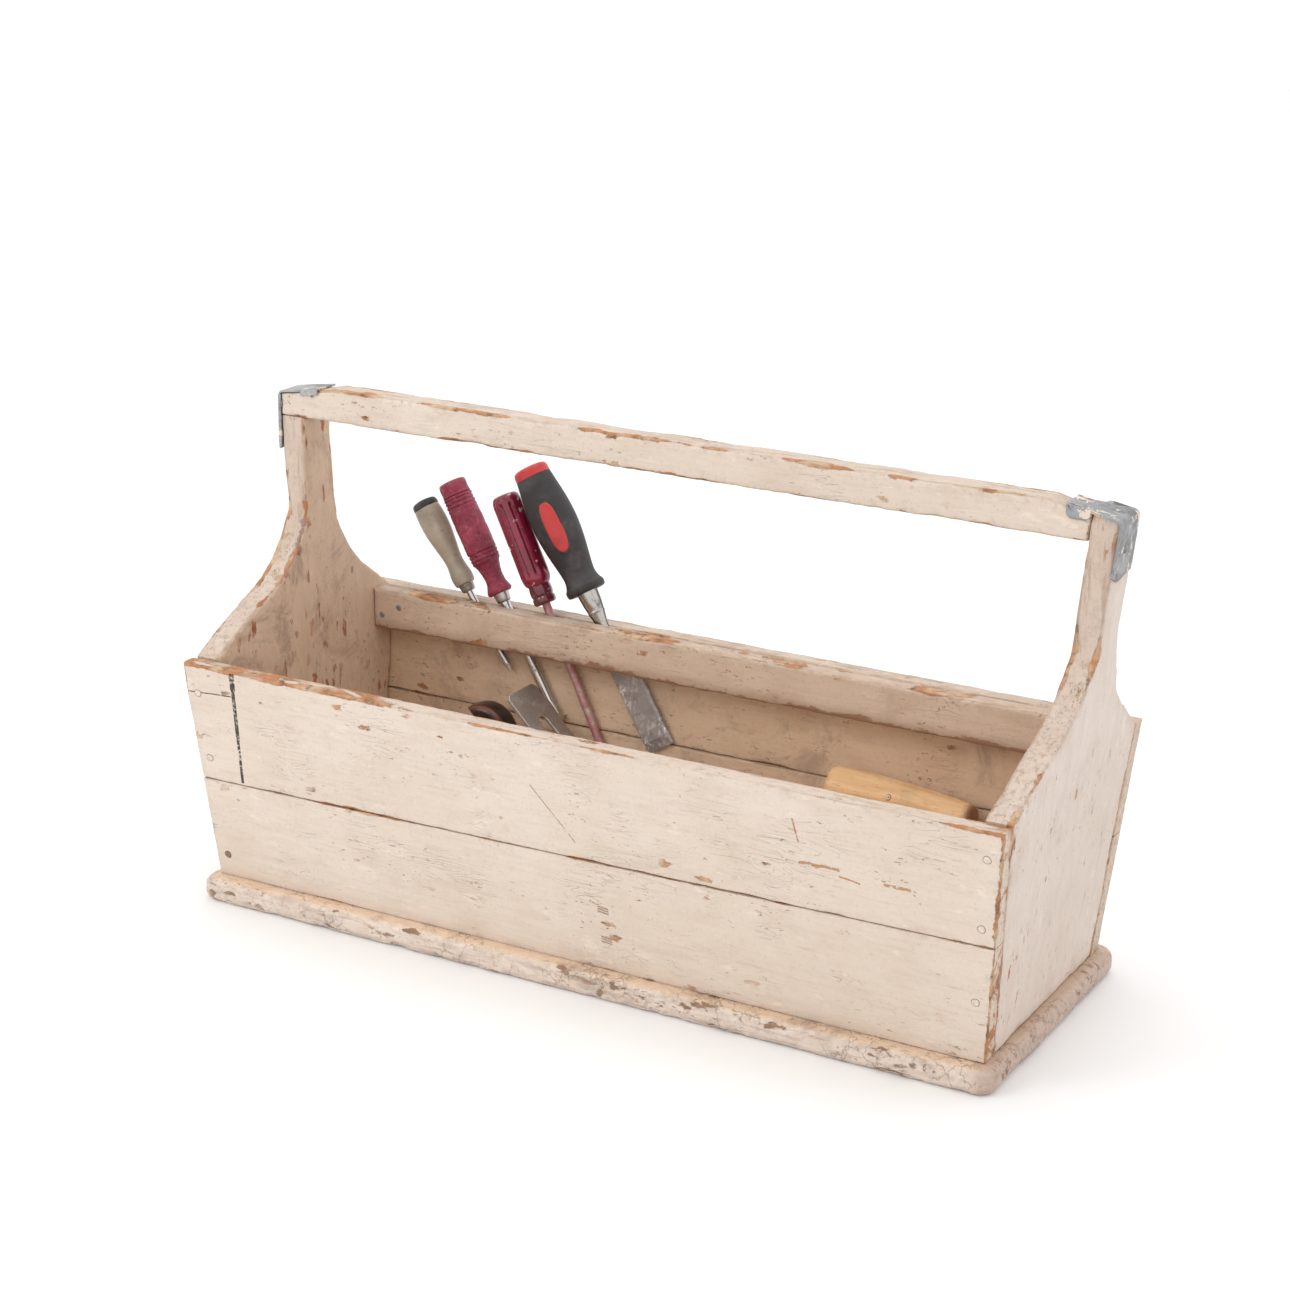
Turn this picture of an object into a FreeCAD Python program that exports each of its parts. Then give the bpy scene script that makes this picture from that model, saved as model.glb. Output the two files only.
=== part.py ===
import FreeCAD, Part
import math
import os
import re
import Sketcher

# Open carpenter's toolbox with a rail handle, a slotted tool rack and six hand tools.
# Millimetres. The origin is the middle of the underside of the base board, +X runs along
# the box to the right, -Y faces the front and +Z is up.

DOC = FreeCAD.newDocument("carpenter_toolbox")
ZERO = FreeCAD.Vector(0, 0, 0)
UP = FreeCAD.Vector(0, 0, 1)
ACROSS = FreeCAD.Vector(0, 1, 0)
ALONG = FreeCAD.Vector(1, 0, 0)

SIZES = {
    # base board
    "base_length": 700.0,
    "base_width": 264.0,
    "base_thick": 20.0,
    "base_corner": 15.0,
    "base_round": 7.5,
    # walls: leans are millimetres outward for each millimetre of height
    "foot_half_length": 338.6,
    "foot_half_depth": 116.5,
    "left_lean": 0.0334,
    "right_lean": 0.0856,
    "front_lean": 0.18215,
    "back_lean": 0.0918,
    "board_thick": 17.0,
    "end_thick": 22.0,
    "front_top": 212.0,
    "back_top": 211.0,
    "front_seam": 113.8,
    "front_seam_rise": 9.6,
    "back_seam": 119.7,
    "seam_gap": 0.9,
    # posts at the tops of the end boards
    "post_front": -3.0,
    "post_back": 37.0,
    "left_post_top": 383.3,
    "right_post_top": 405.0,
    # rail handle
    "bar_depth": 24.0,
    "bar_top": 410.5,
    "bar_round": 5.0,
    "bar_wear": 1.6,
    "bar_left_drop": 9.0,
    "bar_left_slope_drop": 3.0,
    "bar_left_slope_end": 37.0,
    "bar_right_slope_end": 19.0,
    # brackets
    "strap_thick": 1.6,
    "left_strap_width": 25.0,
    "right_strap_width": 39.0,
    "strap_foot": 355.0,
    "strap_clearance": 0.3,
    "strap_fall": 0.19,
    "strap_nail_level": 378.0,
    "left_strap_nail_level": 370.0,
    "lip_height": 4.5,
    "lip_length": 16.2,
    "tongue_height": 11.5,
    # rack
    "rack_front": 86.8,
    "rack_thick": 16.0,
    "rack_low": 181.0,
    "rack_top": 216.0,
    "spacer_length": 35.0,
    "spacer_low": 183.0,
    "spacer_high": 210.0,
    "fit_gap": 0.3,
    # nails
    "nail_head_radius": 2.6,
    "nail_head_height": 1.2,
    "nail_radius": 1.3,
    "nail_length": 34.0,
    "short_nail_length": 27.0,
    # screwdriver shafts
    "small_shaft_radius": 3.0,
    "red_shaft_radius": 4.2,
    "fluted_shaft_radius": 3.6,
    "tang_depth": 22.0,
    "flute_radius": 3.2,
    # chisel
    "blade_width": 25.6,
    "blade_thick": 4.0,
    "inset_thick": 1.4,
    "inset_depth": 17.9,
    "inset_turn": 24.0,
    # bench plane
    "plane_length": 250.0,
    "plane_width": 56.0,
    "cheek_thick": 4.0,
    "sole_thick": 6.0,
    "iron_width": 44.0,
    "iron_length": 192.0,
    "iron_thick": 3.0,
    "iron_clip": 4.0,
    "cap_width": 42.0,
    "cap_thick": 4.5,
    "frog_width": 46.0,
    "tote_thick": 24.0,
    "nut_radius": 6.0,
    "nut_height": 5.0,
    # auger
    "auger_shank_radius": 4.0,
    "auger_pin_radius": 3.0,
    "auger_pin_height": 2.0,
}

SHEET = DOC.addObject("Spreadsheet::Sheet", "sizes")
for row, (alias, value) in enumerate(SIZES.items(), start=1):
    SHEET.set("A%d" % row, alias)
    SHEET.set("B%d" % row, repr(value))
    SHEET.setAlias("B%d" % row, alias)
DOC.recompute()

SUBPARTS = []


# ---------------------------------------------------------------- helpers

def bind(thing, **formulas):
    """Ties properties to formulas written with the cell names."""
    for name, formula in formulas.items():
        thing.setExpression(name, re.sub(r"[a-z]\w+", lambda word: "sizes." + word.group(), formula))


def keep(thing, label):
    """Marks a finished object as a sub-part of the toolbox."""
    thing.Label = label
    SUBPARTS.append(thing)
    return thing


def point(pair):
    return FreeCAD.Vector(pair[0], pair[1], 0)


def new_body(name):
    return DOC.addObject("PartDesign::Body", name)


def plane_of(body, role):
    return [item for item in body.Origin.OriginFeatures if item.Role == role][0]


def new_sketch(body, role, name, lift=0.0):
    sketch = body.newObject("Sketcher::SketchObject", name)
    sketch.AttachmentSupport = [(plane_of(body, role), "")]
    sketch.MapMode = "FlatFace"
    sketch.AttachmentOffset = FreeCAD.Placement(UP * lift, FreeCAD.Rotation())
    return sketch


def outline(sketch, start, steps, ties=()):
    """Closed outline. A step is an end point, or a middle and an end point for an arc.

    A tie holds one coordinate of a numbered corner to a formula."""
    here = start
    ends = []
    last = steps[-1][1] if isinstance(steps[-1][0], tuple) else steps[-1]
    for step in list(steps) + ([] if last == start else [start]):
        middle, there = step if isinstance(step[0], tuple) else (None, step)
        forward = True
        if middle:
            forward = (point(middle) - point(here)).cross(point(there) - point(here)).z > 0
            first, final = (here, there) if forward else (there, here)
            piece = Part.Arc(point(first), point(middle), point(final))
        else:
            piece = Part.LineSegment(point(here), point(there))
        index = sketch.addGeometry(piece, False)
        ends.append((index, 1, 2) if forward else (index, 2, 1))
        here = there
    for one, other in zip(ends, ends[1:] + ends[:1]):
        sketch.addConstraint(Sketcher.Constraint("Coincident", one[0], one[2], other[0], other[1]))
    corners = [start] + [step[1] if isinstance(step[0], tuple) else step for step in steps]
    for corner, side, formula in ties:
        index, near, _ = ends[corner]
        kind, value = ("DistanceX", corners[corner][0]) if side == "x" else ("DistanceY", corners[corner][1])
        number = sketch.addConstraint(Sketcher.Constraint(kind, -1, 1, index, near, value))
        bind(sketch, **{"Constraints[%d]" % number: formula})
    return sketch


def ring_of_circles(sketch, count, distance, radius):
    for turn in range(count):
        angle = 2 * math.pi * turn / count
        middle = FreeCAD.Vector(distance * math.cos(angle), distance * math.sin(angle), 0)
        sketch.addGeometry(Part.Circle(middle, UP, radius), False)


def pad(body, sketch, length):
    feature = body.newObject("PartDesign::Pad", sketch.Name + "_pad")
    feature.Profile = sketch
    bind(feature, Length=length)
    sketch.Visibility = False
    DOC.recompute()
    return feature


def pocket(body, sketch, depth, reverse=False):
    before = body.Shape.Volume
    feature = body.newObject("PartDesign::Pocket", sketch.Name + "_pocket")
    feature.Profile = sketch
    feature.Reversed = reverse
    bind(feature, Length=depth)
    DOC.recompute()
    if not body.Shape.Volume < before - 1e-3:
        raise RuntimeError(feature.Name + " removes nothing")
    return feature


def soften(body, radius, wanted):
    """Rounds the edges of a body that the test picks."""
    base = body.Tip
    names = ["Edge%d" % number for number, edge in enumerate(base.Shape.Edges, start=1) if wanted(edge)]
    if not names:
        raise RuntimeError(body.Name + " has no such edge")
    feature = body.newObject("PartDesign::Fillet", body.Name + "_round")
    feature.Base = (base, names)
    bind(feature, Radius=radius)
    DOC.recompute()
    return feature


def turned(name, radii):
    """Solid of revolution about Z from its outline, bottom to top, closed along the axis."""
    body = new_body(name)
    sketch = new_sketch(body, "XZ_Plane", name + "_outline")
    first, last = radii[0], radii[-1]
    top = last[1] if isinstance(last[0], tuple) else last
    outline(sketch, (0.0, first[1]), list(radii) + [(0.0, top[1])])
    feature = body.newObject("PartDesign::Revolution", name + "_turn")
    feature.Profile = sketch
    feature.ReferenceAxis = (sketch, ["V_Axis"])
    feature.Angle = 360
    sketch.Visibility = False
    DOC.recompute()
    return body


def cylinder(name, radius, height, placement):
    piece = DOC.addObject("Part::Cylinder", name)
    bind(piece, Radius=radius, Height=height)
    piece.Placement = placement
    return piece


def box(name, length, width, height, placement):
    piece = DOC.addObject("Part::Box", name)
    bind(piece, Length=length, Width=width, Height=height)
    piece.Placement = placement
    return piece


def combine(kind, name, base, tool):
    piece = DOC.addObject("Part::" + kind, name)
    piece.Base = base
    piece.Tool = tool
    DOC.recompute()
    return piece


def join(name, pieces):
    piece = DOC.addObject("Part::MultiFuse", name)
    piece.Shapes = pieces
    piece.Refine = True
    DOC.recompute()
    return piece


def at(x, y, z, rotation=None):
    return FreeCAD.Placement(FreeCAD.Vector(x, y, z), rotation or FreeCAD.Rotation())


# ---------------------------------------------------------------- faces of the box as formulas

def left_face(height):
    return "-(foot_half_length + left_lean * (%s - base_thick))" % height


def right_face(height):
    return "(foot_half_length + right_lean * (%s - base_thick))" % height


def front_face(height):
    return "-(foot_half_depth + front_lean * (%s - base_thick))" % height


def back_face(height):
    return "(foot_half_depth + back_lean * (%s - base_thick))" % height


def inset_face(face, distance):
    """The same face moved by a distance formula along its axis."""
    return lambda height: "(%s + %s)" % (face(height), distance)


def left_at(height):
    return -(SIZES["foot_half_length"] + SIZES["left_lean"] * (height - SIZES["base_thick"]))


def right_at(height):
    return SIZES["foot_half_length"] + SIZES["right_lean"] * (height - SIZES["base_thick"])


def front_at(height):
    return -(SIZES["foot_half_depth"] + SIZES["front_lean"] * (height - SIZES["base_thick"]))


def back_at(height):
    return SIZES["foot_half_depth"] + SIZES["back_lean"] * (height - SIZES["base_thick"])


def leaning_board(name, low, high, left, right, front, back):
    """Board between two levels whose four upright faces may lean."""
    board = DOC.addObject("Part::Wedge", name)
    bind(board, Ymin=low, Ymax=high)
    bind(board, Xmin=left(low), Xmax=right(low), X2min=left(high), X2max=right(high))
    bind(board, Zmin="-" + back(low), Zmax="-" + front(low))
    bind(board, Z2min="-" + back(high), Z2max="-" + front(high))
    board.Placement = FreeCAD.Placement(ZERO, FreeCAD.Rotation(ALONG, 90))
    DOC.recompute()
    return board


# ---------------------------------------------------------------- the box

def make_base():
    body = new_body("base")
    half_length, half_width = SIZES["base_length"] / 2, SIZES["base_width"] / 2
    sketch = new_sketch(body, "XY_Plane", "base_outline")
    corners = [(half_length, -half_width), (half_length, half_width), (-half_length, half_width)]
    ties = [(1, "x", "base_length / 2"), (2, "y", "base_width / 2")]
    outline(sketch, (-half_length, -half_width), corners, ties)
    pad(body, sketch, "base_thick")
    soften(body, "base_corner", lambda edge: abs(edge.tangentAt(edge.FirstParameter).z) > 0.9)
    soften(body, "base_round", lambda edge: edge.BoundBox.ZLength < 0.01)
    keep(body, "base_board")


def seam_cutter(name, above):
    """Tall block whose face follows the sloping seam of the front wall."""
    slope = SIZES["front_seam_rise"] / (2 * SIZES["foot_half_length"])
    tilt = FreeCAD.Rotation(ACROSS, -math.degrees(math.atan(slope)))
    half_gap = SIZES["seam_gap"] / 2
    reach = SIZES["base_length"]
    start = -reach * 0.7
    level = SIZES["front_seam"] + slope * start
    height = level - half_gap if above else level + half_gap - SIZES["board_thick"] * 2
    return box(name, "base_length * 1.4", "base_width", "board_thick * 2",
               at(start, -SIZES["base_width"], height, tilt))


def make_front_wall():
    inner = inset_face(front_face, "board_thick")
    lower = leaning_board("front_lower_blank", "base_thick", "front_seam + board_thick",
                          left_face, right_face, front_face, inner)
    upper = leaning_board("front_upper_blank", "front_seam - board_thick", "front_top",
                          left_face, right_face, front_face, inner)
    keep(combine("Cut", "front_lower", lower, seam_cutter("above_seam", True)), "front_lower_board")
    keep(combine("Cut", "front_upper", upper, seam_cutter("below_seam", False)), "front_upper_board")


def make_back_wall():
    inner = inset_face(back_face, "-board_thick")
    keep(leaning_board("back_lower", "base_thick", "(back_seam - seam_gap / 2)",
                       left_face, right_face, inner, back_face), "back_lower_board")
    keep(leaning_board("back_upper", "(back_seam + seam_gap / 2)", "back_top",
                       left_face, right_face, inner, back_face), "back_upper_board")


def end_profile(name, top):
    """Upright panel shape: tapering sides, curved shoulders and a narrow post."""
    thick, foot = SIZES["board_thick"], SIZES["base_thick"]
    shoulder_front, shoulder_back = SIZES["front_top"] + 1.5, SIZES["back_top"] + 1.0
    post_front, post_back = SIZES["post_front"], SIZES["post_back"]
    front_low, front_high = front_at(foot) + thick, front_at(shoulder_front) + thick
    back_low, back_high = back_at(foot) - thick, back_at(shoulder_back) - thick
    body = new_body(name)
    sketch = new_sketch(body, "YZ_Plane", name + "_outline")
    steps = [
        (back_low, foot),
        (back_high, shoulder_back),
        (post_back + 43.0, shoulder_back + 27.0),
        ((post_back + 13.5, shoulder_back + 59.0), (post_back, shoulder_back + 101.0)),
        (post_back, top),
        (post_front, top),
        (post_front, shoulder_front + 89.0),
        ((post_front - 23.0, shoulder_front + 56.0), (post_front - 67.0, shoulder_front + 30.5)),
        (front_high, shoulder_front),
    ]
    ties = [(5, "y", "left_post_top" if top == SIZES["left_post_top"] else "right_post_top"),
            (6, "x", "post_front")]
    outline(sketch, (front_low, foot), steps, ties)
    pad(body, sketch, "base_length")
    return body


def make_left_end():
    panel = end_profile("left_panel", SIZES["left_post_top"])
    panel.Placement = at(-SIZES["base_length"], 0, 0)
    slab = leaning_board("left_slab", "base_thick", "left_post_top", left_face,
                         inset_face(left_face, "end_thick"),
                         lambda height: "-base_width", lambda height: "base_width")
    keep(combine("Common", "left_end", slab, panel), "left_end_board")


def make_right_end():
    panel = end_profile("right_panel", SIZES["right_post_top"])
    slab = leaning_board("right_slab", "base_thick", "right_post_top",
                         inset_face(right_face, "-end_thick"), right_face,
                         lambda height: "-base_width", lambda height: "base_width")
    blank = combine("Common", "right_blank", slab, panel)
    inner = right_at(SIZES["right_post_top"]) - SIZES["end_thick"]
    fall = FreeCAD.Rotation(ACROSS, math.degrees(math.atan(SIZES["strap_fall"])))
    bevel = box("right_bevel", "end_thick * 2", "base_width", "end_thick",
                at(inner, -SIZES["base_width"] / 2, SIZES["right_post_top"], fall))
    keep(combine("Cut", "right_end", blank, bevel), "right_end_board")


# ---------------------------------------------------------------- rail handle and its brackets

def make_bar():
    body = new_body("bar")
    low, top = SIZES["left_post_top"], SIZES["bar_top"]
    left = left_at(low)
    right_low = right_at(low) - SIZES["end_thick"] - SIZES["fit_gap"]
    right_top = SIZES["right_post_top"]
    right_high = right_at(right_top) - SIZES["end_thick"] - SIZES["fit_gap"]
    sketch = new_sketch(body, "XZ_Plane", "bar_outline")
    steps = [
        (right_low, low),
        (right_high, right_top),
        (right_high - SIZES["bar_right_slope_end"], top - 3.5),
        (right_high - 34.0, top),
        (left + 50.0, top),
        (left + SIZES["bar_left_slope_end"], top - SIZES["bar_left_slope_drop"]),
        (left, top - SIZES["bar_left_drop"]),
    ]
    outline(sketch, (left, low), steps, [(0, "y", "left_post_top"), (4, "y", "bar_top")])
    pad(body, sketch, "bar_depth")
    rear = 0.0
    front = -SIZES["bar_depth"]

    def along_top(edge, side):
        box_of = edge.BoundBox
        return (abs(box_of.YMin - side) < 0.01 and box_of.YLength < 0.01
                and box_of.ZMin > SIZES["left_post_top"] + 5 and box_of.XLength > 12)

    soften(body, "bar_round", lambda edge: along_top(edge, rear))
    soften(body, "bar_wear", lambda edge: along_top(edge, front))
    body.Placement = at(0, SIZES["post_front"] + SIZES["bar_depth"], 0)
    keep(body, "handle_bar")


def strap_outline(sketch, inner_end, bend, foot, thick, radius, side):
    """L-shaped strap seen from the front: plate, rounded bend and leg."""
    (end_x, end_z), (bend_x, bend_z), (foot_x, foot_z) = inner_end, bend, foot
    rise = (end_z - bend_z) / abs(end_x - bend_x)
    lean = (bend_x - foot_x) / (bend_z - foot_z)
    outer_x, outer_z = bend_x - side * radius, bend_z + rise * radius
    leg_x, leg_z = bend_x - lean * radius, bend_z - radius
    middle = (bend_x - side * radius * 0.29, bend_z - radius * 0.29 + rise * radius * 0.3)
    inside = (leg_x - side * thick, leg_z - thick * 0.2)
    inside_top = (outer_x - side * thick * 0.2, outer_z - thick)
    inside_middle = (middle[0] - side * thick * 0.71, middle[1] - thick * 0.71)
    steps = [
        (outer_x, outer_z),
        (middle, (leg_x, leg_z)),
        (foot_x, foot_z),
        (foot_x - side * thick, foot_z),
        inside,
        (inside_middle, inside_top),
        (end_x, end_z - thick),
    ]
    return outline(sketch, (end_x, end_z), steps)


def make_left_bracket():
    thick, clearance = SIZES["strap_thick"], SIZES["strap_clearance"]
    bar_left = left_at(SIZES["left_post_top"])
    outer = bar_left - 1.0 - thick
    run, top = SIZES["bar_left_slope_end"], SIZES["bar_top"]
    drop = SIZES["bar_left_drop"] - SIZES["bar_left_slope_drop"]
    plate_inner = (bar_left + run, top - SIZES["bar_left_slope_drop"] + clearance + thick)
    bend = (outer, top - SIZES["bar_left_drop"] + clearance + thick)
    body = new_body("left_strap")
    sketch = new_sketch(body, "XZ_Plane", "left_strap_outline")
    strap_outline(sketch, plate_inner, bend, (outer, SIZES["strap_foot"]), thick, 3.5, -1)
    pad(body, sketch, "left_strap_width")
    body.Placement = at(0, SIZES["post_front"] + SIZES["left_strap_width"], 0)
    slope = FreeCAD.Rotation(ACROSS, -math.degrees(math.atan(drop / run)))
    lip_left, lip_front = plate_inner[0] - SIZES["lip_length"], SIZES["post_front"] - thick
    lip = box("left_lip", "lip_length", "strap_thick", "lip_height",
              at(lip_left, lip_front, plate_inner[1] - SIZES["lip_height"] - thick * 0.8, slope))
    crease = box("left_lip_crease", "lip_length", "strap_thick * 2", "strap_thick * 0.6",
                 at(lip_left, lip_front, plate_inner[1] - thick * 3.2, slope))
    hem = box("left_hem", "strap_thick * 2.2", "strap_thick * 1.7", "right_post_top - strap_foot - 9",
              at(outer - thick * 0.6, SIZES["post_front"], SIZES["strap_foot"] + 2.0))
    keep(join("left_bracket_joined", [body, lip, crease, hem]), "left_bracket")


def make_right_bracket():
    thick, clearance = SIZES["strap_thick"], SIZES["strap_clearance"]
    post_top = SIZES["right_post_top"]
    inner = right_at(post_top) - SIZES["end_thick"]
    outer = right_at(post_top) + clearance + thick
    fall = SIZES["strap_fall"]
    run = SIZES["bar_right_slope_end"]
    plate_inner = (inner - run, post_top + run * fall + clearance + thick)
    bend = (outer, post_top - (outer - inner) * fall + clearance + thick)
    foot = (right_at(SIZES["strap_foot"]) + clearance + thick, SIZES["strap_foot"])
    body = new_body("right_strap")
    sketch = new_sketch(body, "XZ_Plane", "right_strap_outline")
    strap_outline(sketch, plate_inner, bend, foot, thick, 4.5, 1)
    pad(body, sketch, "right_strap_width")
    front = SIZES["post_front"] - 3.0
    body.Placement = at(0, front + SIZES["right_strap_width"], 0)
    narrow_front = box("right_strap_front_waste", "end_thick", "strap_thick * 3", "end_thick",
                       at(inner - run - 2.0, SIZES["post_front"] - thick * 3, post_top - 10.0))
    narrow_back = box("right_strap_back_waste", "end_thick", "base_width / 4", "end_thick",
                      at(inner - run - 2.0, SIZES["post_front"] + SIZES["bar_depth"], post_top - 10.0))
    corner = box("right_strap_corner_waste", "end_thick", "right_strap_width", "end_thick",
                 at(foot[0] - 11.0, front + 10.0, SIZES["strap_foot"] - SIZES["end_thick"],
                    FreeCAD.Rotation(ALONG, 7.0)))
    narrowed = combine("Cut", "right_strap_cut_front", body, narrow_front)
    narrowed = combine("Cut", "right_strap_cut_back", narrowed, narrow_back)
    trimmed = combine("Cut", "right_strap_trimmed", narrowed, corner)
    tongue = make_tongue(plate_inner, inner)
    keep(join("right_bracket_joined", [trimmed, tongue]), "right_bracket")


def make_tongue(plate_inner, inner):
    """Rounded ear of the right strap folded down over the front of the bar."""
    body = new_body("tongue")
    sketch = new_sketch(body, "XZ_Plane", "tongue_outline")
    low = plate_inner[1] - SIZES["tongue_height"]
    left, right = plate_inner[0], inner - 0.5
    top_left, top_right = plate_inner[1] - 0.1, plate_inner[1] - 0.1 - (right - left) * SIZES["strap_fall"]
    steps = [
        (left, low + 5.0),
        ((left + 1.6, low + 1.4), (left + 6.0, low)),
        (right - 5.0, low),
        ((right - 1.4, low + 1.4), (right, low + 5.0)),
        (right, top_right),
    ]
    outline(sketch, (left, top_left), steps)
    pad(body, sketch, "strap_thick * 1.25")
    body.Placement = at(0, SIZES["post_front"] + SIZES["strap_thick"] * 0.1, 0)
    return body


# ---------------------------------------------------------------- tool rack

def make_rack():
    inner_left = inset_face(left_face, "end_thick + fit_gap")
    inner_right = inset_face(right_face, "-end_thick - fit_gap")

    def front(height):
        return "(rack_front)"

    def rear(height):
        return "(rack_front + rack_thick)"

    keep(leaning_board("rack", "rack_low", "rack_top", inner_left, inner_right, front, rear),
         "rack_strip")
    wall = inset_face(back_face, "-board_thick")
    keep(leaning_board("left_block", "spacer_low", "spacer_high", inner_left,
                       inset_face(left_face, "end_thick + fit_gap + spacer_length"),
                       rear, wall), "left_spacer")
    keep(leaning_board("right_block", "spacer_low", "spacer_high",
                       inset_face(right_face, "-end_thick - fit_gap - spacer_length"),
                       inner_right, rear, wall), "right_spacer")


# ---------------------------------------------------------------- nails

def nail(name, spot, inward, length):
    """Flat-headed nail driven from a surface point along a direction."""
    turn = FreeCAD.Rotation(UP, inward)
    step = inward.normalize() * -0.4
    place = FreeCAD.Placement(spot + step, turn)
    head = cylinder(name + "_head", "nail_head_radius", "nail_head_height", place)
    shank = cylinder(name + "_shank", "nail_radius", length, place)
    return [head, shank]


def make_wall_nails():
    """Nails through both long walls into the end boards, two columns on each wall."""
    columns = [(-1, (187.0, 129.0, 40.0)), (1, (190.0, 133.0, 71.0))]
    front, back = [], []
    for side, heights in columns:
        for number, height in enumerate(heights):
            edge = left_at(height) if side < 0 else right_at(height)
            x = edge - side * SIZES["end_thick"] / 2
            name = "%s_nail_%d" % ("left" if side < 0 else "right", number)
            spot = FreeCAD.Vector(x, front_at(height), height)
            inward = FreeCAD.Vector(0, 1, SIZES["front_lean"])
            front += nail("front_" + name, spot, inward, "nail_length")
            spot = FreeCAD.Vector(x, back_at(height), height)
            inward = FreeCAD.Vector(0, -1, SIZES["back_lean"])
            back += nail("back_" + name, spot, inward, "nail_length")
    keep(join("front_nails_joined", front), "front_nails")
    keep(join("back_nails_joined", back), "back_nails")


def make_rack_nails():
    level = (SIZES["spacer_low"] + SIZES["spacer_high"]) / 2
    inner_left = left_at(level) + SIZES["end_thick"]
    inner_right = right_at(level) - SIZES["end_thick"]
    pieces = []
    for number, x in enumerate([inner_left + 9, inner_left + 26, inner_right - 26, inner_right - 9]):
        spot = FreeCAD.Vector(x, SIZES["rack_front"], level + (6 if number % 2 else -3))
        pieces += nail("rack_nail_%d" % number, spot, ACROSS * 1.0, "short_nail_length")
    keep(join("rack_nails_joined", pieces), "rack_nails")


def make_bracket_nails():
    thick, clearance = SIZES["strap_thick"], SIZES["strap_clearance"]
    level, left_level = SIZES["strap_nail_level"], SIZES["left_strap_nail_level"]
    right_x = right_at(level) + clearance + thick
    left_x = left_at(SIZES["left_post_top"]) - 1.0 - thick
    inward = FreeCAD.Vector(-1, 0, -SIZES["right_lean"])
    right = nail("right_strap_nail", FreeCAD.Vector(right_x, 12.8, level), inward, "short_nail_length")
    left = nail("left_strap_nail", FreeCAD.Vector(left_x, 10.0, left_level), ALONG * 1.0, "short_nail_length")
    keep(join("bracket_nails_joined", right + left), "bracket_nails")


# ---------------------------------------------------------------- hand tools in the rack

def slot_y(height):
    """Middle of the rack slot, followed up and down in line with the hanging tools."""
    return 110.2 + 0.07 * (height - SIZES["rack_top"])


def hang(tip, top):
    """Placement that lays local Z on the line from a tool's tip to its top."""
    low = FreeCAD.Vector(tip[0], slot_y(tip[1]), tip[1])
    high = FreeCAD.Vector(top[0], slot_y(top[1]), top[1])
    return FreeCAD.Placement(low, FreeCAD.Rotation(ALONG, ZERO, high - low, "ZXY"))


def place(body, spot, label):
    body.Placement = spot
    keep(body, label)


def driver_shaft(name, radius, length, tip_length, tip_half_width):
    """Round shaft that tapers to its working end."""
    return turned(name, [(tip_half_width, 0.0), (radius, tip_length), (radius, length)])


def make_small_driver():
    spot = hang((-195.4, 157.4), (-290.1, 292.5))
    grip_low, grip_high, top = 84.1, 158.0, 165.3
    shaft = driver_shaft("small_shaft", SIZES["small_shaft_radius"],
                         grip_low + SIZES["tang_depth"], 7.0, 1.2)
    ferrule = turned("small_ferrule", [
        (5.2, grip_low - 6.5), (6.2, grip_low - 5.5), (6.6, grip_low - 1.0), (6.6, grip_low + 3.0),
    ])
    handle = turned("small_handle", [
        (7.4, grip_low),
        ((9.2, grip_low + 4.0), (9.4, grip_low + 9.0)),
        ((8.0, grip_low + 22.0), (9.8, grip_low + 38.0)),
        ((12.2, grip_low + 56.0), (11.2, grip_high)),
    ])
    cap = turned("small_cap", [
        (11.2, grip_high), (11.2, grip_high + 2.0), ((9.2, top - 1.6), (4.0, top)),
    ])
    place(handle, spot, "small_driver_handle")
    place(cap, spot, "small_driver_cap")
    place(ferrule, spot, "small_driver_ferrule")
    place(shaft, spot, "small_driver_shaft")


def make_red_driver():
    spot = hang((-147.9, 124.0), (-262.6, 313.1))
    grip_low, top = 117.1, 221.7
    shaft = driver_shaft("red_shaft", SIZES["red_shaft_radius"],
                         grip_low + SIZES["tang_depth"], 16.0, 3.4)
    ferrule = turned("red_ferrule", [
        (5.4, grip_low - 8.0), (6.2, grip_low - 7.0), (7.2, grip_low + 2.0),
    ])
    handle = turned("red_handle", [
        (9.6, grip_low),
        (10.6, grip_low + 2.5),
        ((8.0, grip_low + 12.0), (9.6, grip_low + 22.0)),
        ((12.6, grip_low + 30.0), (12.9, grip_low + 40.0)),
        (12.9, top - 24.0),
        (11.7, top - 22.6),
        (12.7, top - 21.2),
        (12.5, top - 8.0),
        ((10.6, top - 1.8), (6.0, top)),
    ])
    place(handle, spot, "red_driver_handle")
    place(ferrule, spot, "red_driver_ferrule")
    place(shaft, spot, "red_driver_shaft")


def make_fluted_driver():
    spot = hang((-94.0, 89.3), (-209.8, 309.9))
    grip_low, shoulder, top = 150.3, 167.1, 249.2
    shaft = driver_shaft("fluted_shaft", SIZES["fluted_shaft_radius"],
                         grip_low + SIZES["tang_depth"], 14.0, 3.0)
    collar = turned("fluted_collar", [
        (8.6, grip_low), (9.6, grip_low + 1.5), (9.6, shoulder - 3.0), (9.0, shoulder),
    ])
    handle = turned("fluted_handle", [
        (9.4, shoulder),
        ((11.6, shoulder + 3.0), (12.4, shoulder + 9.0)),
        (12.4, top - 9.0),
        ((11.0, top - 2.6), (6.0, top)),
    ])
    flutes = new_sketch(handle, "XY_Plane", "flute_circles", shoulder + 12.0)
    ring_of_circles(flutes, 8, 14.2, SIZES["flute_radius"])
    pocket(handle, flutes, "tang_depth * 4", reverse=True)
    place(handle, spot, "fluted_driver_handle")
    place(collar, spot, "fluted_driver_collar")
    place(shaft, spot, "fluted_driver_shaft")


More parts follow.
